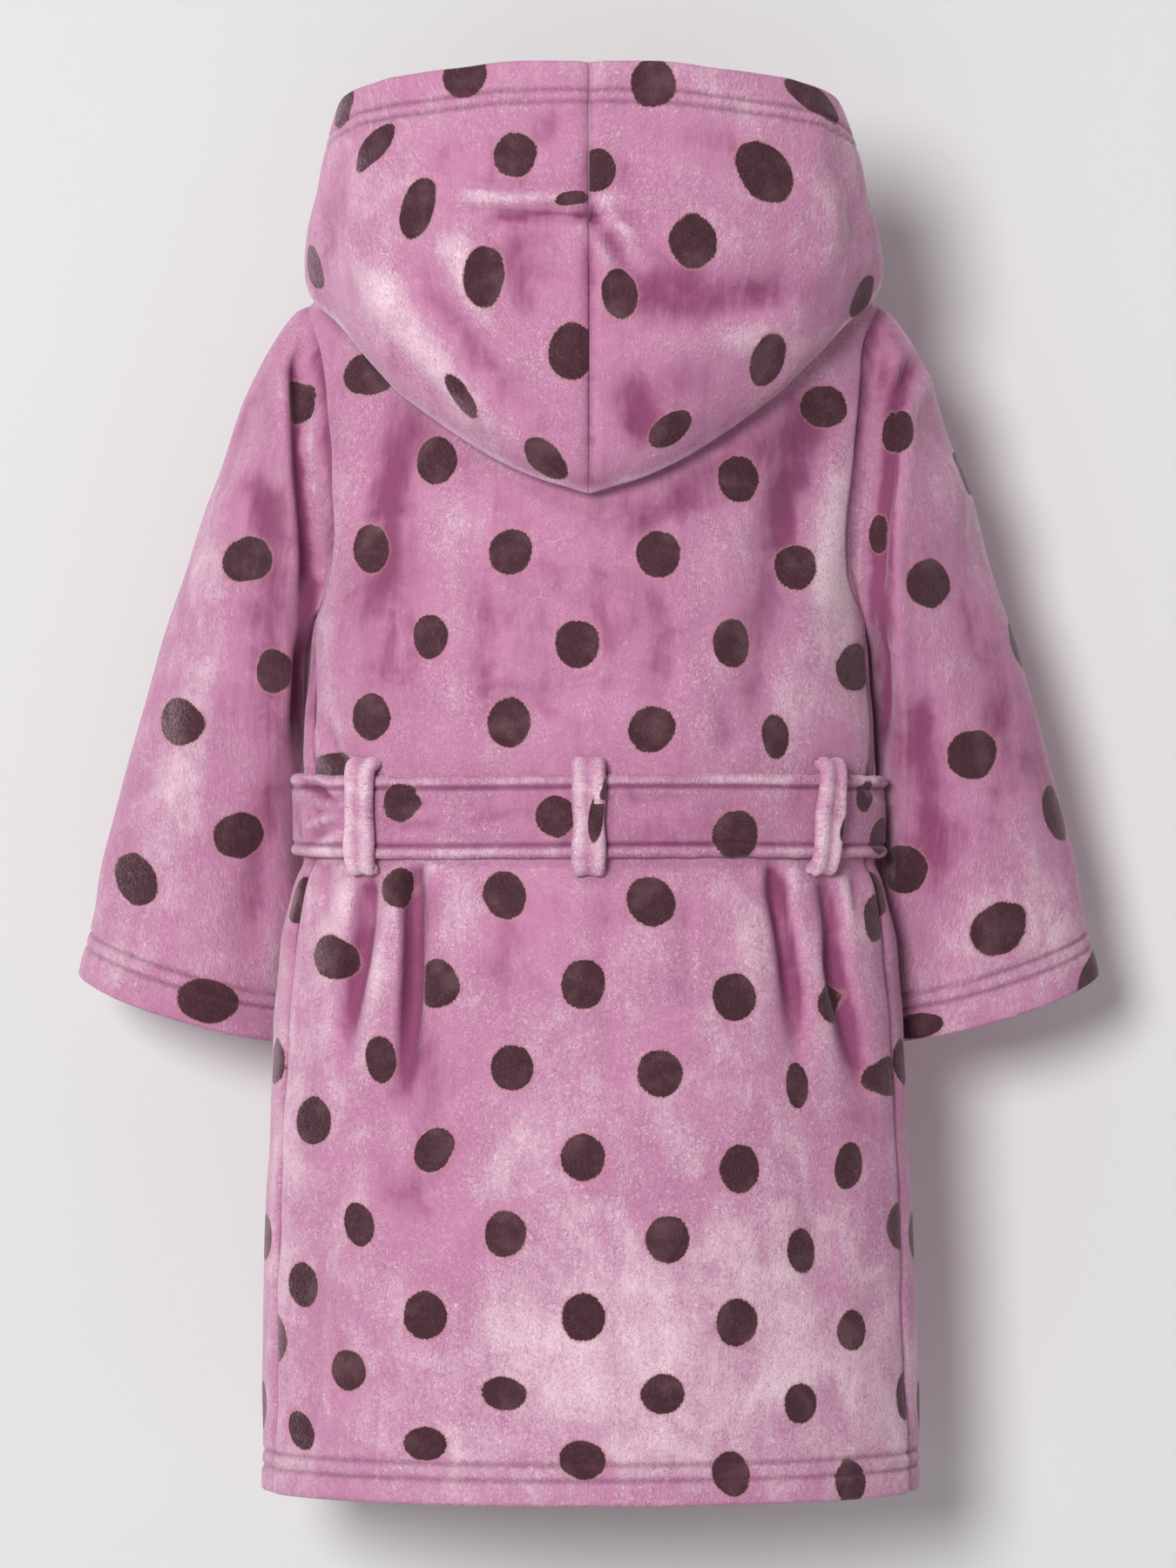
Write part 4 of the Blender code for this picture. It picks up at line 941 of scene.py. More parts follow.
def quads(rows, columns, ring, closed=False):
    """The quads of a grid, as vertex numbers and as (row, column) places in the grid of its measures."""
    down = np.arange(rows if closed else rows - 1)
    across = np.arange(columns if ring else columns - 1)
    row, column = (places.ravel() for places in np.meshgrid(down, across, indexing="ij"))
    at = np.stack([np.stack([row + i, column + j], 1) for i, j in ((0, 0), (0, 1), (1, 1), (1, 0))], 1)
    return (at[..., 0] % rows) * columns + at[..., 1] % columns, at


def rim(at_start, at_end, columns, shift):
    """Quads between the two faces of a shell along one edge."""
    start = at_start[:, 0] * columns + at_start[:, 1] % columns
    end = at_end[:, 0] * columns + at_end[:, 1] % columns
    faces = np.stack([start, end, end + shift, start + shift], 1)
    return faces, np.stack([at_start, at_end, at_end, at_start], 1)


def shell_faces(rows, columns, ring):
    """Faces of a wall between two grids, their places in the grid, and which belong to the inner face."""
    shift = rows * columns
    outer, outer_at = quads(rows, columns, ring)
    inner, inner_at = outer[:, ::-1] + shift, outer_at[:, ::-1]
    steps = np.arange(columns if ring else columns - 1)
    first = np.zeros_like(steps)
    last = np.full_like(steps, rows - 1)
    rims = [
        rim(np.stack([first, steps + 1], 1), np.stack([first, steps], 1), columns, shift),
        rim(np.stack([last, steps], 1), np.stack([last, steps + 1], 1), columns, shift),
    ]
    if not ring:
        steps = np.arange(rows - 1)
        first = np.zeros_like(steps)
        last = np.full_like(steps, columns - 1)
        rims.append(rim(np.stack([steps, first], 1), np.stack([steps + 1, first], 1), columns, shift))
        rims.append(rim(np.stack([steps + 1, last], 1), np.stack([steps, last], 1), columns, shift))
    faces = np.concatenate([outer, inner] + [faces for faces, _ in rims])
    at = np.concatenate([outer_at, inner_at] + [at for _, at in rims])
    inside = np.zeros(len(faces), bool)
    inside[len(outer) : 2 * len(outer)] = True
    return faces, at, inside


def make_piece(name, points, faces, corners, inside, dots, marks, finish):
    """A piece from its faces, the measures of its cloth at their corners, its dots and its marks."""
    triangle = points[faces[:, :3]]
    volume = np.sum(triangle[:, 0] * np.cross(triangle[:, 1], triangle[:, 2]))
    if volume < 0:
        faces, corners = faces[:, ::-1], corners[:, ::-1]
    data = bpy.data.meshes.new(name)
    data.from_pydata(points.tolist(), [], faces.tolist())
    data.update()
    data.shade_smooth()

    cloth = data.uv_layers.new(name="cloth")
    cloth.data.foreach_set("uv", corners.astype(np.float32).ravel())
    dotted = data.uv_layers.new(name="dots")
    within = within_dots(points[faces], dots)
    within[inside] = NO_DOT
    dotted.data.foreach_set("uv", within.astype(np.float32).ravel())
    for key, values in marks.items():
        mark = data.attributes.new(key, "FLOAT", "POINT")
        mark.data.foreach_set("value", values.astype(np.float32).ravel())

    data.materials.append(finish)
    piece = bpy.data.objects.new(name, data)
    bpy.context.scene.collection.objects.link(piece)
    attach(piece, "root")
    return piece


def nap_and_painted_light(points):
    """How much paler or deeper the patches colour the cloth: the nap's own, and painted light and painted
    shade.
    """
    places = sighted(points)
    total = np.zeros(places.shape[:-1])
    for patch in NAP_AND_PAINTED_LIGHT:
        tilt = np.radians(patch.tilt)
        x, z = places[..., 0] - patch.x, places[..., 1] - patch.z
        along = (x * np.cos(tilt) + z * np.sin(tilt)) / patch.half_x
        beside = (z * np.cos(tilt) - x * np.sin(tilt)) / patch.half_z
        total += patch.pale * np.exp(-(along**2) - beside**2)
    return total


def cloth_corners(across, up, at):
    """The measures of the cloth at its face corners."""
    return np.stack([across[at[..., 0], at[..., 1]], up[at[..., 0], at[..., 1]]], -1)


def make_shell(node, outer, facing, thickness, across, up, dots, stitches, creased, finish, ring=False):
    """A piece of cloth: its outer face, its thickness everywhere, and the measures of its cloth."""
    rows, columns = outer.shape[:2]
    inner = outer - facing * thickness[..., None]
    faces, at, inside = shell_faces(rows, columns, ring)
    corners = cloth_corners(across, up, at)
    # The colour mark: patches of nap and of painted light and shade, with painted shade in creases, folds
    # and seams and painted highlights on ridges
    pale = nap_and_painted_light(outer) * smoothstep(0.3, -0.1, facing[..., 1])
    pale = pale - np.clip(creased / CREASE_SHADE, -0.75, 1.2)
    marks = {
        "stitched": np.concatenate([stitches.ravel(), np.zeros(rows * columns)]),
        # The inner face is painted deeper, as shade
        "nap_and_painted_light": np.concatenate([pale.ravel(), np.minimum(pale, -0.2).ravel()]),
    }
    points = np.concatenate([bulged(outer).reshape(-1, 3), bulged(inner).reshape(-1, 3)])
    piece = make_piece(f"{node}_cloth", points, faces, corners, inside, dots, marks, finish)
    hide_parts(node)
    return piece


def wrapped(values):
    """A ring's measures with its first column again at the end."""
    return np.concatenate([values, values[:, :1]], axis=1)


def on_back(facing):
    """Where cloth faces the camera, as a share."""
    return smoothstep(0.05, -0.25, facing[..., 1])


def on_front(facing):
    """Where cloth faces away from the camera, as a share."""
    return smoothstep(-0.05, 0.25, facing[..., 1])


def clear_of(gap):
    """Creases fade towards an edge, as a share."""
    return smoothstep(0, 0.03, gap)


def lumpy(across, up, lumps):
    """How far the cloth stands up in its small and large lumps."""
    small = lumps.small * unevenness(across, up, SMALL_LUMP, lumps.seed)
    return small + lumps.large * unevenness(across, up, lumps.size, lumps.seed + 1)


def pressed(plain, facing, press, thickness, full):
    """The outer face, pressed in, and drawn in to the middle of the cloth at a soft edge."""
    return plain - facing * (press + thickness / 2 * (1 - full))[..., None]


# Pieces


def panel_rows():
    """Rises of the rows of the back and the fronts, along the side edge."""
    skirt = HEM_Z + edge_stops(UNDERARM_RISE - HEM_Z, PANEL_STEP)
    return np.concatenate([skirt[:-1], armhole_rise(np.linspace(pi, 0, ARMHOLE_ROWS))])


def make_back(finish):
    t = np.linspace(-1, 1, BACK_COLUMNS)
    columns = 0.86 * t + 0.14 * np.sin(t * pi / 2)
    across, row = np.meshgrid(columns, panel_rows())
    angle = across * (side_angle(row, "back") - SEAM_GAP / half_depth(0))
    rise = spread(row, top_rise(across * SHOULDER_TIP) - SEAM_GAP)
    plain = body(angle, rise)
    facing = facing_of(body, angle, rise)
    run = run_along(plain, 1)
    middle = BACK_COLUMNS // 2
    run -= run[:, middle : middle + 1]
    up = run_along(plain, 0)
    side_gap = np.minimum(run - run[:, :1], run[:, -1:] - run)
    top_gap = up[-1:] - up
    stitches = hem_stitches(up, SKIRT_HEM)
    creased = crease_depth(sighted(plain), BACK_CREASES) * on_back(facing) * clear_of(up)
    seams = seam_dip(side_gap) + seam_dip(top_gap) + armhole_dip(side_gap, plain[..., 2])
    press = (creased + seams) * underarm_calm(plain) + STITCH_DEPTH * stitches
    # What colours the cloth as painted shade: the depth of its creases, folds and seams
    creased = creased + fold_depth(angle, plain[..., 2]) + SEAM_SHADE * seams
    press -= lumpy(run, up, BACK_LUMPS)
    press -= SKIRT_HEM.extra / 2 * hem_fullness(up, SKIRT_HEM)
    thickness = WALL + SKIRT_HEM.extra * hem_fullness(up, SKIRT_HEM)
    full = rounded(up, thickness)
    outer = pressed(plain, facing, press, thickness, full)
    dots = print_dots(plain, facing, run, up, BACK_DOTS, False, 11)
    measures = run, up, dots, stitches, creased
    return make_shell("back", outer, facing, thickness * full, *measures, finish)


def make_front(name, side, finish):
    width = 0.16
    columns = np.concatenate([edge_stops(width, FRONT_STEP)[:-1] / width, [1.0]])
    across, row = np.meshgrid(columns, panel_rows())
    neck_angle = pi - NECK_ANGLE
    edge_rise = spread(row, dome_base(neck_angle) + DOME_LENGTH)
    edge = pi - np.arcsin(front_edge_across(edge_rise) / half_width(edge_rise))
    seam = side_angle(row, "front") + SEAM_GAP / half_depth(0)
    top_angle = neck_angle + (pi - SHOULDER_TIP - neck_angle) * across
    top = dome_base(top_angle) + DOME_LENGTH - SEAM_GAP
    angle, rise = edge + (seam - edge) * across, spread(row, top)

    def lapped(turned, risen):
        return body(turned, risen, lap_lift(np.abs(turned), risen) if side > 0 else 0.0)

    plain = lapped(side * angle, rise)
    facing = facing_of(lapped, side * angle, rise)
    run = run_along(plain, 1)
    up = run_along(plain, 0)
    side_gap = run[:, -1:] - run
    top_gap = up[-1:] - up
    stitches = np.maximum(hem_stitches(up, SKIRT_HEM), hem_stitches(run, FRONT_HEM))
    creased = crease_depth(plain[..., [0, 2]] * 1000, FRONT_CREASES) * on_front(facing)
    creased = creased * clear_of(up) * clear_of(run)
    seams = seam_dip(side_gap) + seam_dip(top_gap) + armhole_dip(side_gap, plain[..., 2])
    press = (creased + seams) * underarm_calm(plain) + STITCH_DEPTH * stitches
    press -= lumpy(run, up, FRONT_LUMPS)
    fullness = hem_fullness(run, FRONT_HEM) * FRONT_HEM.extra / SKIRT_HEM.extra
    fullness = np.maximum(hem_fullness(up, SKIRT_HEM), fullness)
    thickness = WALL + SKIRT_HEM.extra * 0.5 * fullness
    full = np.minimum(rounded(up, thickness), rounded(run, thickness))
    outer = pressed(plain, facing, press, thickness, full)
    dots = print_dots(plain, facing, run, up, [], True, 21 + side)
    # What colours the cloth as painted shade: the depth of its creases, folds and seams
    creased = creased + fold_depth(side * angle, plain[..., 2]) + SEAM_SHADE * seams
    measures = run, up, dots, stitches, creased
    return make_shell(f"front_{name}", outer, facing, thickness * full, *measures, finish)


def make_sleeve(name, side, creases, dot_places, finish):
    length = 0.34
    turn, along = np.meshgrid(
        np.linspace(0, 2 * pi, SLEEVE_COLUMNS, endpoint=False) + pi,
        np.concatenate([ARMHOLE_STOPS, edge_stops(length, PANEL_STEP, True)[4:] / length]),
    )
    turn = turn % (2 * pi)
    mirror = np.array([side, 1, 1])
    plain = sleeve_surface(turn, along) * mirror
    facing = facing_of(sleeve_surface, turn, along, 0.03, 0.01) * mirror
    up = run_along(plain, 0)
    down_gap = up[-1:] - up
    run = run_along(wrapped(plain), 1)
    wide = run[:, :-1]
    stitches = hem_stitches(down_gap, CUFF_HEM)
    creased = crease_depth(sighted(plain), creases) * on_back(facing)
    places = np.abs(plain[..., [0, 2]]) * np.array([1000, -1000])
    creased += crease_depth(places, SLEEVE_FRONT_CREASES) * on_front(facing)
    seam_gap = np.minimum(wide, run[:, -1:] - wide)
    creased = creased * clear_of(down_gap) * smoothstep(0, 0.012, up)
    seams = seam_dip(up) + armhole_dip(up, plain[..., 2]) + seam_dip(seam_gap)
    press = creased + seams + STITCH_DEPTH * stitches
    ridge = RIDGE_HEIGHT * np.exp(-(((up - RIDGE_AT) / RIDGE_SPREAD) ** 2)) * on_back(facing)
    ridge = ridge * smoothstep(*RIDGE_LOW, plain[..., 2]) * smoothstep(*RIDGE_HIGH, plain[..., 2])
    press = (press - ridge) * underarm_calm(plain)
    # What colours the cloth: painted shade by the depth of creases and seams, and a painted highlight on
    # the ridge beside the armhole
    creased = creased + SEAM_SHADE * seams - 0.7 * ridge
    press -= smoothstep(0, 0.01, up) * lumpy(wide, up, SLEEVE_LUMPS)
    thickness = WALL + CUFF_HEM.extra * hem_fullness(down_gap, CUFF_HEM)
    full = rounded(down_gap, thickness)
    outer = pressed(plain, facing, press, thickness, full)
    dots = print_dots(plain, facing, wide, up, dot_places, True, 31 + side)
    measures = run, wrapped(up), dots, stitches, creased
    return make_shell(f"sleeve_{name}", outer, facing, thickness * full, *measures, finish, ring=True)


def roll_fold(points, reach=7.0, passes=14):
    """Rounds the hood's fold, and keeps its row where it was."""
    rows = np.arange(len(points))
    near = np.exp(-(((rows - HOOD_FOLD_ROW) / reach) ** 2))[:, None, None]
    rolled = points.copy()
    for _ in range(passes):
        between = (rolled[:-2] + rolled[2:]) / 2
        rolled[1:-1] += (between - rolled[1:-1]) * near[1:-1] * 0.7
    return rolled + (points[HOOD_FOLD_ROW] - rolled[HOOD_FOLD_ROW]) * near


def make_hood(name, side, finish):
    height = 0.2
    under = np.linspace(0, HOOD_FOLD_SHARE, HOOD_FOLD_ROW + 1)
    above = HOOD_FOLD_SHARE + (1 - HOOD_FOLD_SHARE) * edge_stops(height, HOOD_STEP, True) / height
    overs = np.concatenate([under[:-1], above])
    along, over = np.meshgrid(np.linspace(0, 1, HOOD_COLUMNS) ** 1.15, overs)
    plain = roll_fold(hood_surface(along, over))
    plain[:, 0, 0] = SEAM_GAP / 2
    facing = normals(plain)
    if np.mean(facing[HOOD_FOLD_ROW:, :, 1]) > 0:
        facing = -facing
    mirror = np.array([side, 1, 1])
    plain, facing = plain * mirror, facing * mirror
    run = run_along(plain, 1)
    up = run_along(plain, 0)
    edge_gap = up[-1:] - up
    outside = smoothstep(HOOD_FOLD_SHARE - 0.02, HOOD_FOLD_SHARE + 0.10, over)
    stitches = hem_stitches(edge_gap, HOOD_HEM)
    creased = crease_depth(sighted(plain), HOOD_CREASES) * outside * smoothstep(0.1, -0.2, facing[..., 1])
    creased = creased * smoothstep(0.018, 0.034, edge_gap)
    press = creased + outside * 1.3 * seam_dip(run) + STITCH_DEPTH * stitches
    # A pale rim along the fold: it stands up a little, and is a painted highlight
    from_fold = up - up[HOOD_FOLD_ROW : HOOD_FOLD_ROW + 1]
    pale_rim = np.exp(-(((from_fold - HOOD_RIM_AT) / HOOD_RIM_SPREAD) ** 2))
    pale_rim = pale_rim * smoothstep(*HOOD_RIM_Z, plain[..., 2])
    # What colours the cloth: painted shade in creases and the centre seam, and the rim's painted highlight
    creased = creased + outside * 1.5 * seam_dip(run) - HOOD_RIM_HIGHLIGHT * pale_rim
    press -= HOOD_RIM_HEIGHT * pale_rim
    press -= outside * lumpy(run, up, HOOD_LUMPS)
    thickness = WALL + HOOD_HEM.extra * hem_fullness(edge_gap, HOOD_HEM)
    full = rounded(edge_gap, thickness)
    outer = pressed(plain, facing, press, thickness, full)
    outer[:, 0, 0] = side * SEAM_GAP / 2
    own = [dot for dot in HOOD_DOTS if dot.x * side > 0]
    dots = print_dots(plain, facing, run, up, own, True, 41 + side)
    measures = run, up, dots, stitches, creased
    return make_shell(f"hood_{name}", outer, facing, thickness * full, *measures, finish)


def soft_edge(gap, half, least=0.0):
    """The share of its half thickness that a strip has near its rounded edge."""
    return np.sqrt(np.clip(1 - (1 - np.clip(gap / half, 0, 1)) ** 2, least, 1))


def rolled_edge(gap):
    """How far the pile stands up outside a strip's line of stitches, as a share."""
    return np.exp(-(((gap - ROLL_AT) / ROLL_SPREAD) ** 2))


def strip_columns(count):
    """Shares of a strip's half width round its section: its outer face, then its inner face."""
    t = np.linspace(-1, 1, count)
    face = 0.55 * t + 0.45 * np.sin(t * pi / 2)
    return np.concatenate([face, face[-2:0:-1]])


def print_strip_dots(plain, sideways, upwards, rows, columns, ovals=()):
    """A strip's printed dots, as print_dots gives them. The first ones may have sighted ovals."""
    if len(rows) == 0:
        far_away = np.array([[0, 0, 9.0]])
        return far_away, np.array([[1.0, 0, 0]]), np.array([[0, 0, 1.0]]), np.eye(2)[None]
    turns = [np.eye(2) / DOT_RADIUS for _ in rows]
    for number, dot in enumerate(ovals):
        if dot.half_length:
            turns[number] = oval_on_cloth(dot, sideways[number], upwards[number])
    return plain[rows, columns], sideways, upwards, np.array(turns)


def make_strip(node, points, faces, corners, dots, marks, finish):
    """A piece of the belt's cloth, all of whose faces are outside."""
    inside = np.zeros(len(faces), bool)
    points = points.reshape(-1, 3)
    piece = make_piece(f"{node}_cloth", points, faces, corners, inside, dots, marks, finish)
    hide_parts(node)
    return piece


def make_belt(finish):
    """The belt round the waist: a doubled strip with rolled edges outside its two lines of stitches."""
    high = strip_columns(BELT_COLUMNS)
    angle, share = np.meshgrid(np.linspace(-pi, pi, BELT_ROWS, endpoint=False), high, indexing="ij")
    outside = np.broadcast_to(np.arange(len(high)) < BELT_COLUMNS, angle.shape)
    gap = (1 - np.abs(share)) * BELT_HALF_HEIGHT
    edge = soft_edge(gap, BELT_THICKNESS / 2)
    length = angle * WAIST_RADIUS
    stitches = stitch_row(gap - BELT_STITCH) * outside
    apart = np.sign(share) * EDGES_APART
    rolled = rolled_edge(gap) * (1 + BELT_ROLL_UNEVEN * unevenness(length, apart, 0.012, 14))
    out = BELT_CLEAR + BELT_THICKNESS / 2 * (1 + np.where(outside, edge, -edge))
    plain = waist_point(angle, out, BELT_Z)
    fray = BELT_FRAY * unevenness(length, apart, 0.007, 13) * np.abs(share) ** 8
    plain[..., 2] = BELT_Z + share * BELT_HALF_HEIGHT + BELT_SAG * np.sin(angle * 3 + 0.6) + fray
    facing = unit(waist_point(angle, 0.02, BELT_Z) - waist_point(angle, 0.01, BELT_Z))
    back = smoothstep(0.05, -0.1, facing[..., 1])
    creased = crease_depth(sighted(plain), BELT_CREASES) * back
    lumps = unevenness(length, share * BELT_HALF_HEIGHT, 0.016, 12)
    raised = BELT_ROLL * rolled + BELT_LUMPS * lumps
    press = (creased + BELT_STITCH_DEPTH * stitches - raised) * edge * outside
    outer = plain - facing * press[..., None]
    rows, columns = outer.shape[:2]
    faces, at = quads(rows, columns, True, True)
    middle = plain[:, BELT_COLUMNS // 2]
    lengths = run_along(np.concatenate([middle, middle[:1]]), 0)
    wide = wrapped(high[None])[0] * BELT_HALF_HEIGHT
    corners = cloth_corners(*np.meshgrid(lengths, wide, indexing="ij"), at)
    # The colour mark: patches of nap and painted light and shade, painted highlights on the rolled edges,
    # painted shade in the stitches and creases, the belt a little deeper overall; the inner face is
    # painted deeper, as shade
    pale = nap_and_painted_light(outer) * back + 0.60 * rolled - 0.8 * stitches - 0.25
    pale = pale - np.clip(creased / BELT_CREASE_SHADE, -0.4, 1)
    marks = {"stitched": stitches.ravel(), "nap_and_painted_light": np.where(outside, pale, -0.3).ravel()}
    dots = belt_dots(plain, lengths[:-1])
    return make_strip("belt", outer, faces, corners, dots, marks, finish)


def belt_dots(plain, lengths):
    """The belt's dots: those sighted behind, and the print's rows in front."""
    found = nearest_places(plain, BELT_DOTS, plain[..., 1] < 0)
    middle = BELT_COLUMNS // 2
    for number, length in enumerate(np.arange(0, lengths.max(), DOT_PITCH / 2)):
        row = np.argmin(np.abs(lengths - length))
        if plain[row, middle, 1] > 0:
            found.append((row, middle + (-1) ** number * BELT_DOT_SHIFT))
    rows, columns = np.array(found).T
    sideways = unit(np.roll(plain, -1, axis=0) - plain)[rows, columns]
    upwards = np.broadcast_to([0.0, 0.0, 1.0], sideways.shape)
    return print_strip_dots(plain, sideways, upwards, rows, columns, BELT_DOTS)


def ribbon_ends(rows, columns, measures):
    """The quads that close a ribbon's two ends, and the measures of its cloth at their corners."""
    faces, corners = [], []
    for row in (0, rows - 1):
        for j in range(columns // 2):
            around = [j, j + 1, columns - j - 1, (columns - j) % columns]
            order = around if row else around[::-1]
            faces.append([row * columns + k for k in order])
            corners.append([[measure[row, k] for measure in measures] for k in order])
    return np.array(faces), np.array(corners)


def make_ribbon(node, middles, across, out, half_widths, thickness, stitch, roll, printed, seed, finish):
    """A flat strip with soft edges and closed ends, along its middle points.

    Its rows of stitches, if any, lie `stitch` from its edges. Where it has dots, `printed` gives them.
    """
    share = strip_columns(RIBBON_COLUMNS)
    outside = np.arange(len(share)) < RIBBON_COLUMNS
    gap = (1 - np.abs(share))[None] * half_widths[:, None]
    length = run_along(middles[:, None], 0)[:, 0]
    end_gap = np.minimum(length, length[-1] - length)[:, None]
    half = thickness / 2
    stitches = stitch_row(gap - stitch) * (end_gap > 0) if stitch else np.zeros(gap.shape)
    wide = half_widths[:, None] * share
    along = np.broadcast_to(length[:, None], wide.shape)
    rolled = rolled_edge(gap) * roll
    lumps = STRIP_LUMPS * unevenness(along, wide, 0.010, seed)
    fuller = 1 + lumps - STRIP_STITCH_DEPTH * stitches + rolled
    depth = half * np.where(outside, 1, -1) * soft_edge(gap, half)
    depth = depth * soft_edge(end_gap, half, 0.04) * fuller
    fray = 1 + STRIP_FRAY * unevenness(along, np.sign(share) * EDGES_APART, 0.008, seed + 1)
    points = middles[:, None] + across[:, None] * (wide * fray)[..., None]
    points = points + out[:, None] * depth[..., None]
    rows, columns = points.shape[:2]
    faces, at = quads(rows, columns, True)
    ends, end_corners = ribbon_ends(rows, columns, (along, wide))
    corners = np.concatenate([cloth_corners(wrapped(along), wrapped(wide), at), end_corners])
    faces = np.concatenate([faces, ends])
    # Painted highlights on the rolled edges and painted shade in the stitches, on a slightly deeper strip
    pale = 0.8 * rolled / max(roll, 0.01) * (roll > 0) - 0.5 * stitches - 0.12
    marks = {"stitched": stitches.ravel(), "nap_and_painted_light": (pale * outside).ravel()}
    dots = printed(points, across, out, length)
    return make_strip(node, points, faces, corners, dots, marks, finish)


def sighted_strip_dots(dots):
    """For a strip whose dots are all sighted."""

    def printed(points, across, out, length):
        if not dots:
            return print_strip_dots(points, None, None, [], [])
        outside = np.broadcast_to(np.arange(points.shape[1]) < RIBBON_COLUMNS, points.shape[:2])
        rows, columns = np.array(nearest_places(points, dots, outside)).T
        upwards = unit(np.cross(out[rows], across[rows]))
        return print_strip_dots(points, across[rows], upwards, rows, columns, dots)

    return printed


def staggered_strip_dots(points, across, out, length):
    """For a strip that takes the print's staggered rows."""
    places = np.arange(0.012, length[-1], DOT_PITCH / 2)
    rows = np.array([np.argmin(np.abs(length - place)) for place in places])
    inset, width = STRIP_DOT_INSET, RIBBON_COLUMNS - 1
    columns = np.where(np.arange(len(rows)) % 2, inset, width - inset)
    return print_strip_dots(points, across[rows], unit(np.cross(out[rows], across[rows])), rows, columns)


def make_loop(loop, finish):
    """A loop lies on the body above the belt, steps out over it and lies on the body again below."""
    over = BELT_CLEAR + BELT_THICKNESS + LOOP_CLEAR + LOOP_THICKNESS / 2
    flat = 0.0005 + LOOP_THICKNESS / 2
    line = [
        ((over if step.over else flat) + step.out, BELT_Z + step.edge * (BELT_HALF_HEIGHT + step.beyond))
        for step in LOOP_STEPS
    ]
    outs, zs = smooth_line(line, LOOP_ROWS).T
    down = (zs[0] - zs) / (zs[0] - zs[-1])
    angle = np.radians(loop.top_angle + (loop.bottom_angle - loop.top_angle) * down)
    middles = waist_point(angle, outs, zs)
    across = unit(waist_point(angle + 0.02, outs, zs) - middles)
    out = unit(np.cross(np.gradient(middles, axis=0), across))
    widths = LOOP_HALF_WIDTH * (1.02 + 0.05 * np.sin(down * 9 + loop.top_angle))
    printed = sighted_strip_dots(LOOP_DOTS[loop.name])
    seed = 51 + loop.top_angle % 7
    name = f"belt_loop_{loop.name}"
    return make_ribbon(name, middles, across, out, widths, LOOP_THICKNESS, 0, 0.45, printed, seed, finish)


def belt_front():
    """The point of the belt's outer face at the centre front."""
    return waist_point(np.array(pi), BELT_CLEAR + BELT_THICKNESS, BELT_Z)


def make_knot(finish):
    """A flat round knot just before the belt: a turn of the strip slants over its gathered sides."""
    middle = belt_front() + [0, KNOT_HALF[1] + KNOT_CLEAR, 0]
    highs = np.linspace(-0.985, 0.985, KNOT_ROWS)
    turns = np.linspace(0, 2 * pi, KNOT_COLUMNS, endpoint=False)
    high, turn = np.meshgrid(highs, turns, indexing="ij")
    size = (1 - np.abs(high) ** 3.2) ** 0.4
    shown = smoothstep(-0.1, 0.3, np.sin(turn))
    slant = high * 0.9 + 0.55 * np.cos(turn)
    over = smoothstep(KNOT_TURN_HALF, KNOT_TURN_HALF - 0.1, np.abs(slant)) * shown
    gathers = KNOT_GATHERS * np.sin(slant * 26 + 2 * np.sin(turn * 2)) * (1 - over) * shown
    pleats = KNOT_PLEATS * np.sin(slant * 17) * over
    from_groove = (np.abs(slant) - KNOT_TURN_HALF) / KNOT_GROOVE_SPREAD
    groove = KNOT_GROOVE * np.exp(-(from_groove**2)) * shown
    full = 1 + KNOT_FULL * over + gathers + pleats - groove
    x = KNOT_HALF[0] * size * np.cos(turn) * (1 + (full - 1) * 0.4)
    y = KNOT_HALF[1] * size * np.sin(turn) * full
    points = stack(x, y, KNOT_HALF[2] * high) + middle
    rows, columns = points.shape[:2]
    faces, at = quads(rows, columns, True)
    run, up = run_along(wrapped(points), 1), run_along(wrapped(points), 0)
    ends, end_corners = ribbon_ends(rows, columns, (run[:, :-1], up[:, :-1]))
    faces = np.concatenate([faces, ends])
    corners = np.concatenate([cloth_corners(run, up, at), end_corners])
    # A painted highlight on the turn over the top and painted shade in the groove beside it
    pale = 0.35 * over - 6 * groove
    marks = {"stitched": np.zeros(rows * columns), "nap_and_painted_light": pale.ravel()}
    quarter = KNOT_COLUMNS // 4
    sideways, upwards = np.array([[1.0, 0, 0]] * 2), np.array([[0, 0, 1.0]] * 2)
    dot_columns = [quarter - KNOT_DOT_SHIFT, quarter + KNOT_DOT_SHIFT]
    dots = print_strip_dots(points, sideways, upwards, KNOT_DOT_ROWS, dot_columns)
    return make_strip("belt_knot", points, faces, corners, dots, marks, finish)


def make_tail(tail, finish):
    """A tail leaves the knot gathered, widens and hangs clear of the skirt, turned to its side."""
    down = np.linspace(0, 1, TAIL_ROWS)
    start = belt_front() + [0, KNOT_HALF[1] + KNOT_CLEAR, -KNOT_HALF[2] * 0.94 - TAIL_DROP]
    x = tail.side * (TAIL_APART + tail.spread * down**0.8)
    z = start[2] - tail.length * down
    skirt = body(np.array(pi) + x / 0.15, z, LAP_LIFT)[:, 1]
    swing = TAIL_SWING * np.sin(down * 7 + tail.side)
    y = np.maximum(start[1] - 0.004 * down, skirt + TAIL_CLEAR) + swing
    middles = stack(x, y, z)
    wide = TAIL_HALF_WIDTH * (TAIL_NECK_SHARE + (1 - TAIL_NECK_SHARE) * smoothstep(0, 0.25, down))
    twist = stack(np.cos(0.2 * down), -0.18 * tail.side * np.ones_like(down), 0.04 * tail.side * down)
    across = unit(twist)
    out = unit(np.cross(across, np.gradient(middles, axis=0)))
    name, printed, seed = f"belt_tail_{tail.name}", staggered_strip_dots, 61 + tail.side
    return make_ribbon(
        name, middles, -across, -out, wide, TAIL_THICKNESS, BELT_STITCH, 0.5, printed, seed, finish
    )


# Finishes


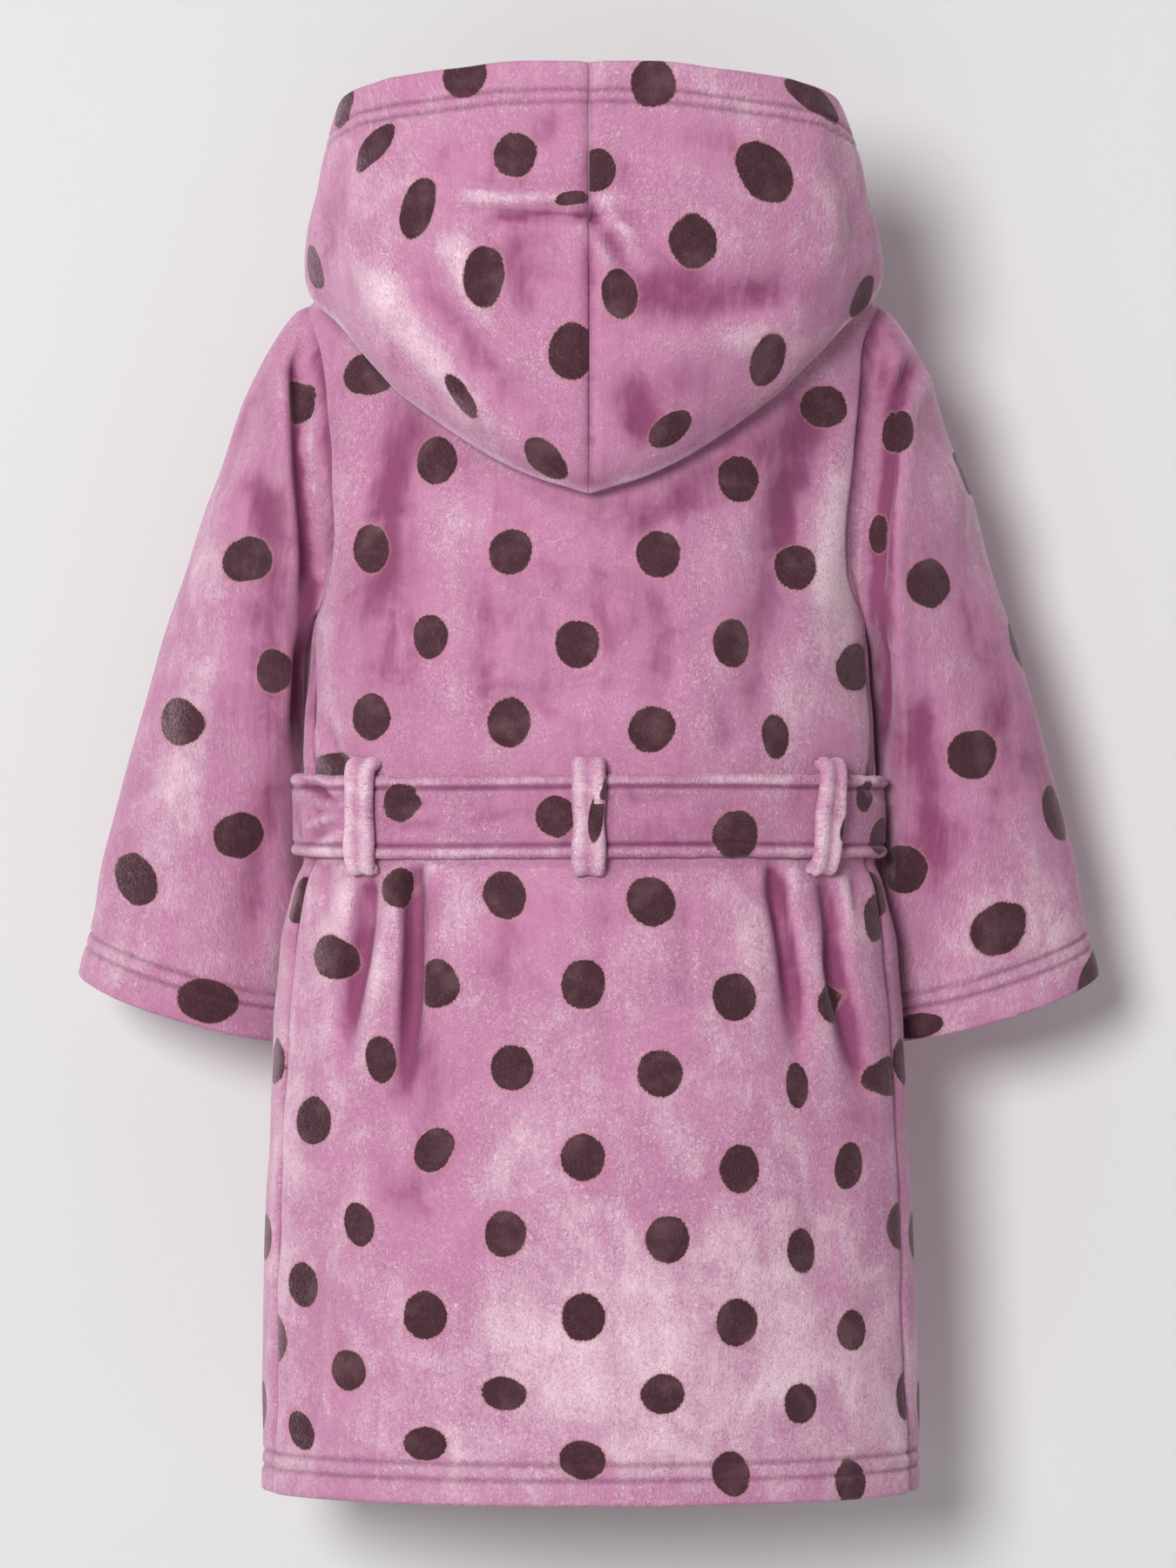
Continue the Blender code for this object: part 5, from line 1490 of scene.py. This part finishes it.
def feed(tree, node, inputs):
    """Sets a node's inputs, or links them where they come from another node."""
    for key, value in inputs.items():
        if isinstance(value, bpy.types.NodeSocket):
            tree.links.new(value, node.inputs[key])
        else:
            node.inputs[key].default_value = value


def add(tree, kind, inputs=None, **settings):
    """A node with its settings and its inputs."""
    made = tree.nodes.new(kind)
    for key, value in settings.items():
        setattr(made, key, value)
    feed(tree, made, inputs or {})
    return made


def group(name, inputs, outputs):
    """A shader node group with named inputs and outputs."""
    tree = bpy.data.node_groups.new(name, "ShaderNodeTree")
    for label, kind, value in inputs:
        socket = tree.interface.new_socket(label, in_out="INPUT", socket_type=kind)
        socket.default_value = value
    for label, kind in outputs:
        tree.interface.new_socket(label, in_out="OUTPUT", socket_type=kind)
    return tree, tree.nodes.new("NodeGroupInput").outputs, tree.nodes.new("NodeGroupOutput").inputs


def maths(tree, operation, a, b, clamp=False):
    return add(tree, "ShaderNodeMath", {0: a, 1: b}, operation=operation, use_clamp=clamp).outputs[0]


def centred(tree, value, weight):
    """A noise about nought, with its weight."""
    return maths(tree, "MULTIPLY", maths(tree, "SUBTRACT", value, 0.5), weight)


def mix_colour(tree, share, a, b):
    return add(tree, "ShaderNodeMix", {0: share, 6: a, 7: b}, data_type="RGBA").outputs[2]


def noise(tree, where, scale=1.0, detail=2.0, roughness=0.5, distortion=0.0):
    inputs = {"Vector": where, "Scale": scale, "Detail": detail, "Roughness": roughness}
    return add(tree, "ShaderNodeTexNoise", inputs | {"Distortion": distortion}).outputs["Fac"]


def ranged(tree, value, low, high, to_low=0.0, to_high=1.0):
    inputs = {"Value": value, "From Min": low, "From Max": high, "To Min": to_low, "To Max": to_high}
    return add(tree, "ShaderNodeMapRange", inputs, interpolation_type="SMOOTHSTEP").outputs["Result"]


def stretched(tree, where, scale):
    return add(tree, "ShaderNodeVectorMath", {0: where, 1: scale}, operation="MULTIPLY").outputs[0]


def nap_group():
    """Fleece: soft clouds, strokes of a hand, and the pile's fibres where it is ruffled. The given mark
    adds the nap's patches and painted light and shade; the pale fibre tips, stronger where the colour is
    lit, are painted glints, and the deep roots painted shade.
    """
    tree, given, put = group(
        "brushed nap",
        [
            ("Pale", "NodeSocketColor", (*PALE, 1)),
            ("Middle", "NodeSocketColor", (*MIDDLE, 1)),
            ("Deep", "NodeSocketColor", (*DEEP, 1)),
            ("NapAndPaintedLight", "NodeSocketFloat", 0.0),
        ],
        [("Colour", "NodeSocketColor"), ("Fibres", "NodeSocketFloat"), ("Ruffled", "NodeSocketFloat")],
    )
    cloth = add(tree, "ShaderNodeUVMap", uv_map="cloth").outputs[0]
    place = add(tree, "ShaderNodeTexCoord").outputs["Object"]
    clouds = noise(tree, place, scale=11, detail=2, distortion=0.3)
    mottle = noise(tree, place, scale=38, detail=3, roughness=0.6, distortion=0.6)
    strokes = noise(tree, stretched(tree, cloth, (95, 24, 1)), detail=3, roughness=0.6, distortion=0.5)
    ruffle = noise(tree, place, scale=24, detail=3, roughness=0.6, distortion=0.6)
    fibres = noise(tree, stretched(tree, cloth, (720, 520, 1)), detail=2, roughness=0.7, distortion=1.6)
    ribs = noise(tree, stretched(tree, cloth, (520, 70, 1)), detail=1)

    tone = centred(tree, clouds, 0.38)
    for layer, weight in ((mottle, 0.70), (strokes, 0.36), (ribs, 0.10)):
        tone = maths(tree, "ADD", tone, centred(tree, layer, weight))
    tone = maths(tree, "ADD", tone, maths(tree, "MULTIPLY", given["NapAndPaintedLight"], 0.42))
    tone = maths(tree, "ADD", tone, 0.50, True)
    lower = mix_colour(tree, ranged(tree, tone, 0.0, 0.5), given["Deep"], given["Middle"])
    smooth = mix_colour(tree, ranged(tree, tone, 0.46, 1.02), lower, given["Pale"])
    ruffled = ranged(tree, maths(tree, "ADD", centred(tree, ruffle, 0.8), tone), 0.22, 0.72, 0.25, 1.0)
    lit = ranged(tree, tone, 0.05, 0.60, 0.25, 1.0)
    # Painted glints on the fibre tips, and painted shade at their roots
    tips = maths(tree, "MULTIPLY", ranged(tree, fibres, 0.50, 0.76), ruffled)
    tips = maths(tree, "MULTIPLY", tips, lit)
    roots = maths(tree, "MULTIPLY", ranged(tree, fibres, 0.50, 0.26), ruffled)
    rooted = mix_colour(tree, maths(tree, "MULTIPLY", roots, 0.55), smooth, given["Deep"])
    colour = mix_colour(tree, maths(tree, "MULTIPLY", tips, 0.80), rooted, given["Pale"])
    tree.links.new(colour, put["Colour"])
    tree.links.new(fibres, put["Fibres"])
    tree.links.new(ruffled, put["Ruffled"])
    return tree


def dots_group():
    """Printed dots with a slightly uneven rim and a thin tan line where the print ends."""
    tree, given, put = group(
        "printed dots",
        [
            ("Cloth", "NodeSocketColor", (*MIDDLE, 1)),
            ("Dot", "NodeSocketColor", (*DOT, 1)),
            ("Lit dot", "NodeSocketColor", (*DOT_LIT, 1)),
            ("Rim", "NodeSocketColor", (*DOT_RIM, 1)),
            ("Fibres", "NodeSocketFloat", 0.5),
        ],
        [("Colour", "NodeSocketColor"), ("Printed", "NodeSocketFloat")],
    )
    within = add(tree, "ShaderNodeUVMap", uv_map="dots").outputs[0]
    cloth = add(tree, "ShaderNodeUVMap", uv_map="cloth").outputs[0]
    place = add(tree, "ShaderNodeTexCoord").outputs["Object"]
    from_middle = add(tree, "ShaderNodeVectorMath", {0: within}, operation="LENGTH").outputs["Value"]
    wobble = centred(tree, noise(tree, place, scale=75, detail=1), 0.26)
    frayed = centred(tree, noise(tree, stretched(tree, cloth, (900, 700, 1)), detail=1), 0.16)
    reach = maths(tree, "ADD", maths(tree, "ADD", from_middle, wobble), frayed)
    printed = ranged(tree, reach, 1.03, 0.97)
    rim = maths(tree, "MULTIPLY", ranged(tree, reach, 1.13, 1.03), 0.42)
    lit = ranged(tree, noise(tree, place, scale=60, roughness=0.6), 0.45, 0.75, 0.0, 0.55)
    tips = ranged(tree, given["Fibres"], 0.45, 0.85, 0.0, 0.8)
    face = mix_colour(tree, maths(tree, "ADD", lit, tips, True), given["Dot"], given["Lit dot"])
    edged = mix_colour(tree, rim, given["Cloth"], given["Rim"])
    tree.links.new(mix_colour(tree, printed, edged, face), put["Colour"])
    tree.links.new(printed, put["Printed"])
    return tree


def plush(name, nap, dots, pale, middle, deep):
    """Plush fleece: matt, with a velvet sheen, its nap and its dots."""
    made = bpy.data.materials.new(name)
    made.use_nodes = True
    tree = made.node_tree
    shader = tree.nodes["Principled BSDF"]
    nap_and_light = add(tree, "ShaderNodeAttribute", attribute_name="nap_and_painted_light").outputs["Fac"]
    stitched = add(tree, "ShaderNodeAttribute", attribute_name="stitched").outputs["Fac"]
    fleece = add(tree, "ShaderNodeGroup", node_tree=nap)
    feed(tree, fleece, {"Pale": (*pale, 1), "Middle": (*middle, 1), "Deep": (*deep, 1), "NapAndPaintedLight": nap_and_light})
    printed = add(tree, "ShaderNodeGroup", node_tree=dots)
    feed(tree, printed, {"Cloth": fleece.outputs["Colour"], "Fibres": fleece.outputs["Fibres"]})
    # The stitched lines are darkened as painted shade in their grooves
    stitch_shade = (*[0.45 * channel for channel in deep], 1)
    sunk = mix_colour(tree, maths(tree, "MULTIPLY", stitched, 0.45), printed.outputs["Colour"], stitch_shade)
    ruffled = maths(tree, "ADD", fleece.outputs["Ruffled"], 0.3)
    height = maths(tree, "MULTIPLY", fleece.outputs["Fibres"], ruffled)
    bump = add(tree, "ShaderNodeBump", {"Strength": 0.7, "Distance": 0.0012, "Height": height})
    surface = {
        "Base Color": sunk,
        "Normal": bump.outputs["Normal"],
        "Roughness": 0.85,
        "Specular IOR Level": 0.15,
        "Sheen Weight": 0.55,
        "Sheen Roughness": 0.30,
        "Sheen Tint": (1.0, 0.72, 0.86, 1),
    }
    feed(tree, shader, surface)
    return made


# Stage


def make_backdrop():
    """A pale sweep behind the gown and under it, seen only from its front."""
    turn = np.linspace(0, pi / 2, 17)
    wall_y, floor_z, curve = 0.130, -0.80, 0.12
    bend = [(wall_y - curve + curve * np.cos(t), floor_z + curve - curve * np.sin(t)) for t in turn]
    profile = [(wall_y, 2.4), *bend, (-5.0, floor_z)]
    points = [(x, y, z) for x in (-4.0, 4.0) for y, z in profile]
    count = len(profile)
    faces = [(i, i + 1, count + i + 1, count + i) for i in range(count - 1)]
    data = bpy.data.meshes.new("backdrop")
    data.from_pydata(points, [], faces)
    data.update()
    data.shade_smooth()
    if data.polygons[0].normal.y > 0:
        data.flip_normals()
    made = bpy.data.materials.new("backdrop paper")
    made.use_nodes = True
    tree = made.node_tree
    shader = tree.nodes["Principled BSDF"]
    feed(tree, shader, {"Base Color": (*BACKDROP, 1), "Roughness": 1.0, "Specular IOR Level": 0.0})
    clear = tree.nodes.new("ShaderNodeBsdfTransparent")
    behind = tree.nodes.new("ShaderNodeNewGeometry").outputs["Backfacing"]
    mixed = add(tree, "ShaderNodeMixShader", {0: behind, 1: shader.outputs[0], 2: clear.outputs[0]})
    tree.links.new(mixed.outputs[0], tree.nodes["Material Output"].inputs["Surface"])
    data.materials.append(made)
    backdrop = bpy.data.objects.new("backdrop", data)
    bpy.context.scene.collection.objects.link(backdrop)


def make_light(name, place, size, power, lit=None):
    """A round soft light. With a collection to light, it leaves all else unlit and passes through it."""
    data = bpy.data.lights.new(name, "AREA")
    data.shape = "DISK"
    data.size = size
    data.energy = power
    light = bpy.data.objects.new(name, data)
    light.location = place
    light.rotation_mode = "QUATERNION"
    light.rotation_quaternion = (Vector(LIGHT_AIM) - Vector(place)).to_track_quat("-Z", "Y")
    bpy.context.scene.collection.objects.link(light)
    if lit:
        light.light_linking.receiver_collection = lit
        light.light_linking.blocker_collection = lit


def make_stage(pieces):
    gown = bpy.data.collections.new("gown")
    for piece in pieces:
        gown.objects.link(piece)
    scene = bpy.context.scene
    world = bpy.data.worlds.new("studio")
    world.use_nodes = True
    feed(world.node_tree, world.node_tree.nodes["Background"], {"Color": (1, 1, 1, 1), "Strength": 0.22})
    scene.world = world
    scene.view_settings.view_transform = "Standard"
    scene.view_settings.look = "None"
    make_light("front light", (-1.35, -5.1, 0.66), size=1.5, power=212)
    make_light("light before the gown", (1.6, 3.6, 1.2), size=2.0, power=90, lit=gown)
    make_light("high light", (-1.5, -2.4, 2.3), size=0.8, power=34, lit=gown)
    make_backdrop()
    data = bpy.data.cameras.new("camera")
    data.sensor_width = SENSOR
    data.lens = SENSOR * CAMERA_DISTANCE / FRAME_HEIGHT
    camera = bpy.data.objects.new("camera", data)
    camera.location = (CAMERA_X, -CAMERA_DISTANCE, CAMERA_Z)
    camera.rotation_euler = (pi / 2, 0, 0)
    scene.collection.objects.link(camera)
    scene.camera = camera


def main():
    nap, dots = nap_group(), dots_group()
    finish = plush("plush fleece", nap, dots, PALE, MIDDLE, DEEP)
    belt_finish = plush("belt fleece", nap, dots, PALE, BELT_MIDDLE, DEEP)
    cloths = [make_back(finish)]
    cloths += [make_front(name, side, finish) for name, side in (("left", -1), ("right", 1))]
    cloths.append(make_sleeve("left", -1, SLEEVE_LEFT_CREASES, SLEEVE_LEFT_DOTS, finish))
    cloths.append(make_sleeve("right", 1, SLEEVE_RIGHT_CREASES, SLEEVE_RIGHT_DOTS, finish))
    cloths += [make_hood(name, side, finish) for name, side in (("left", -1), ("right", 1))]
    belt = make_belt(belt_finish)
    loops = [make_loop(loop, finish) for loop in LOOPS]
    knot = make_knot(belt_finish)
    tails = [make_tail(tail, belt_finish) for tail in TAILS]
    make_stage(cloths + [belt, knot] + loops + tails)


main()
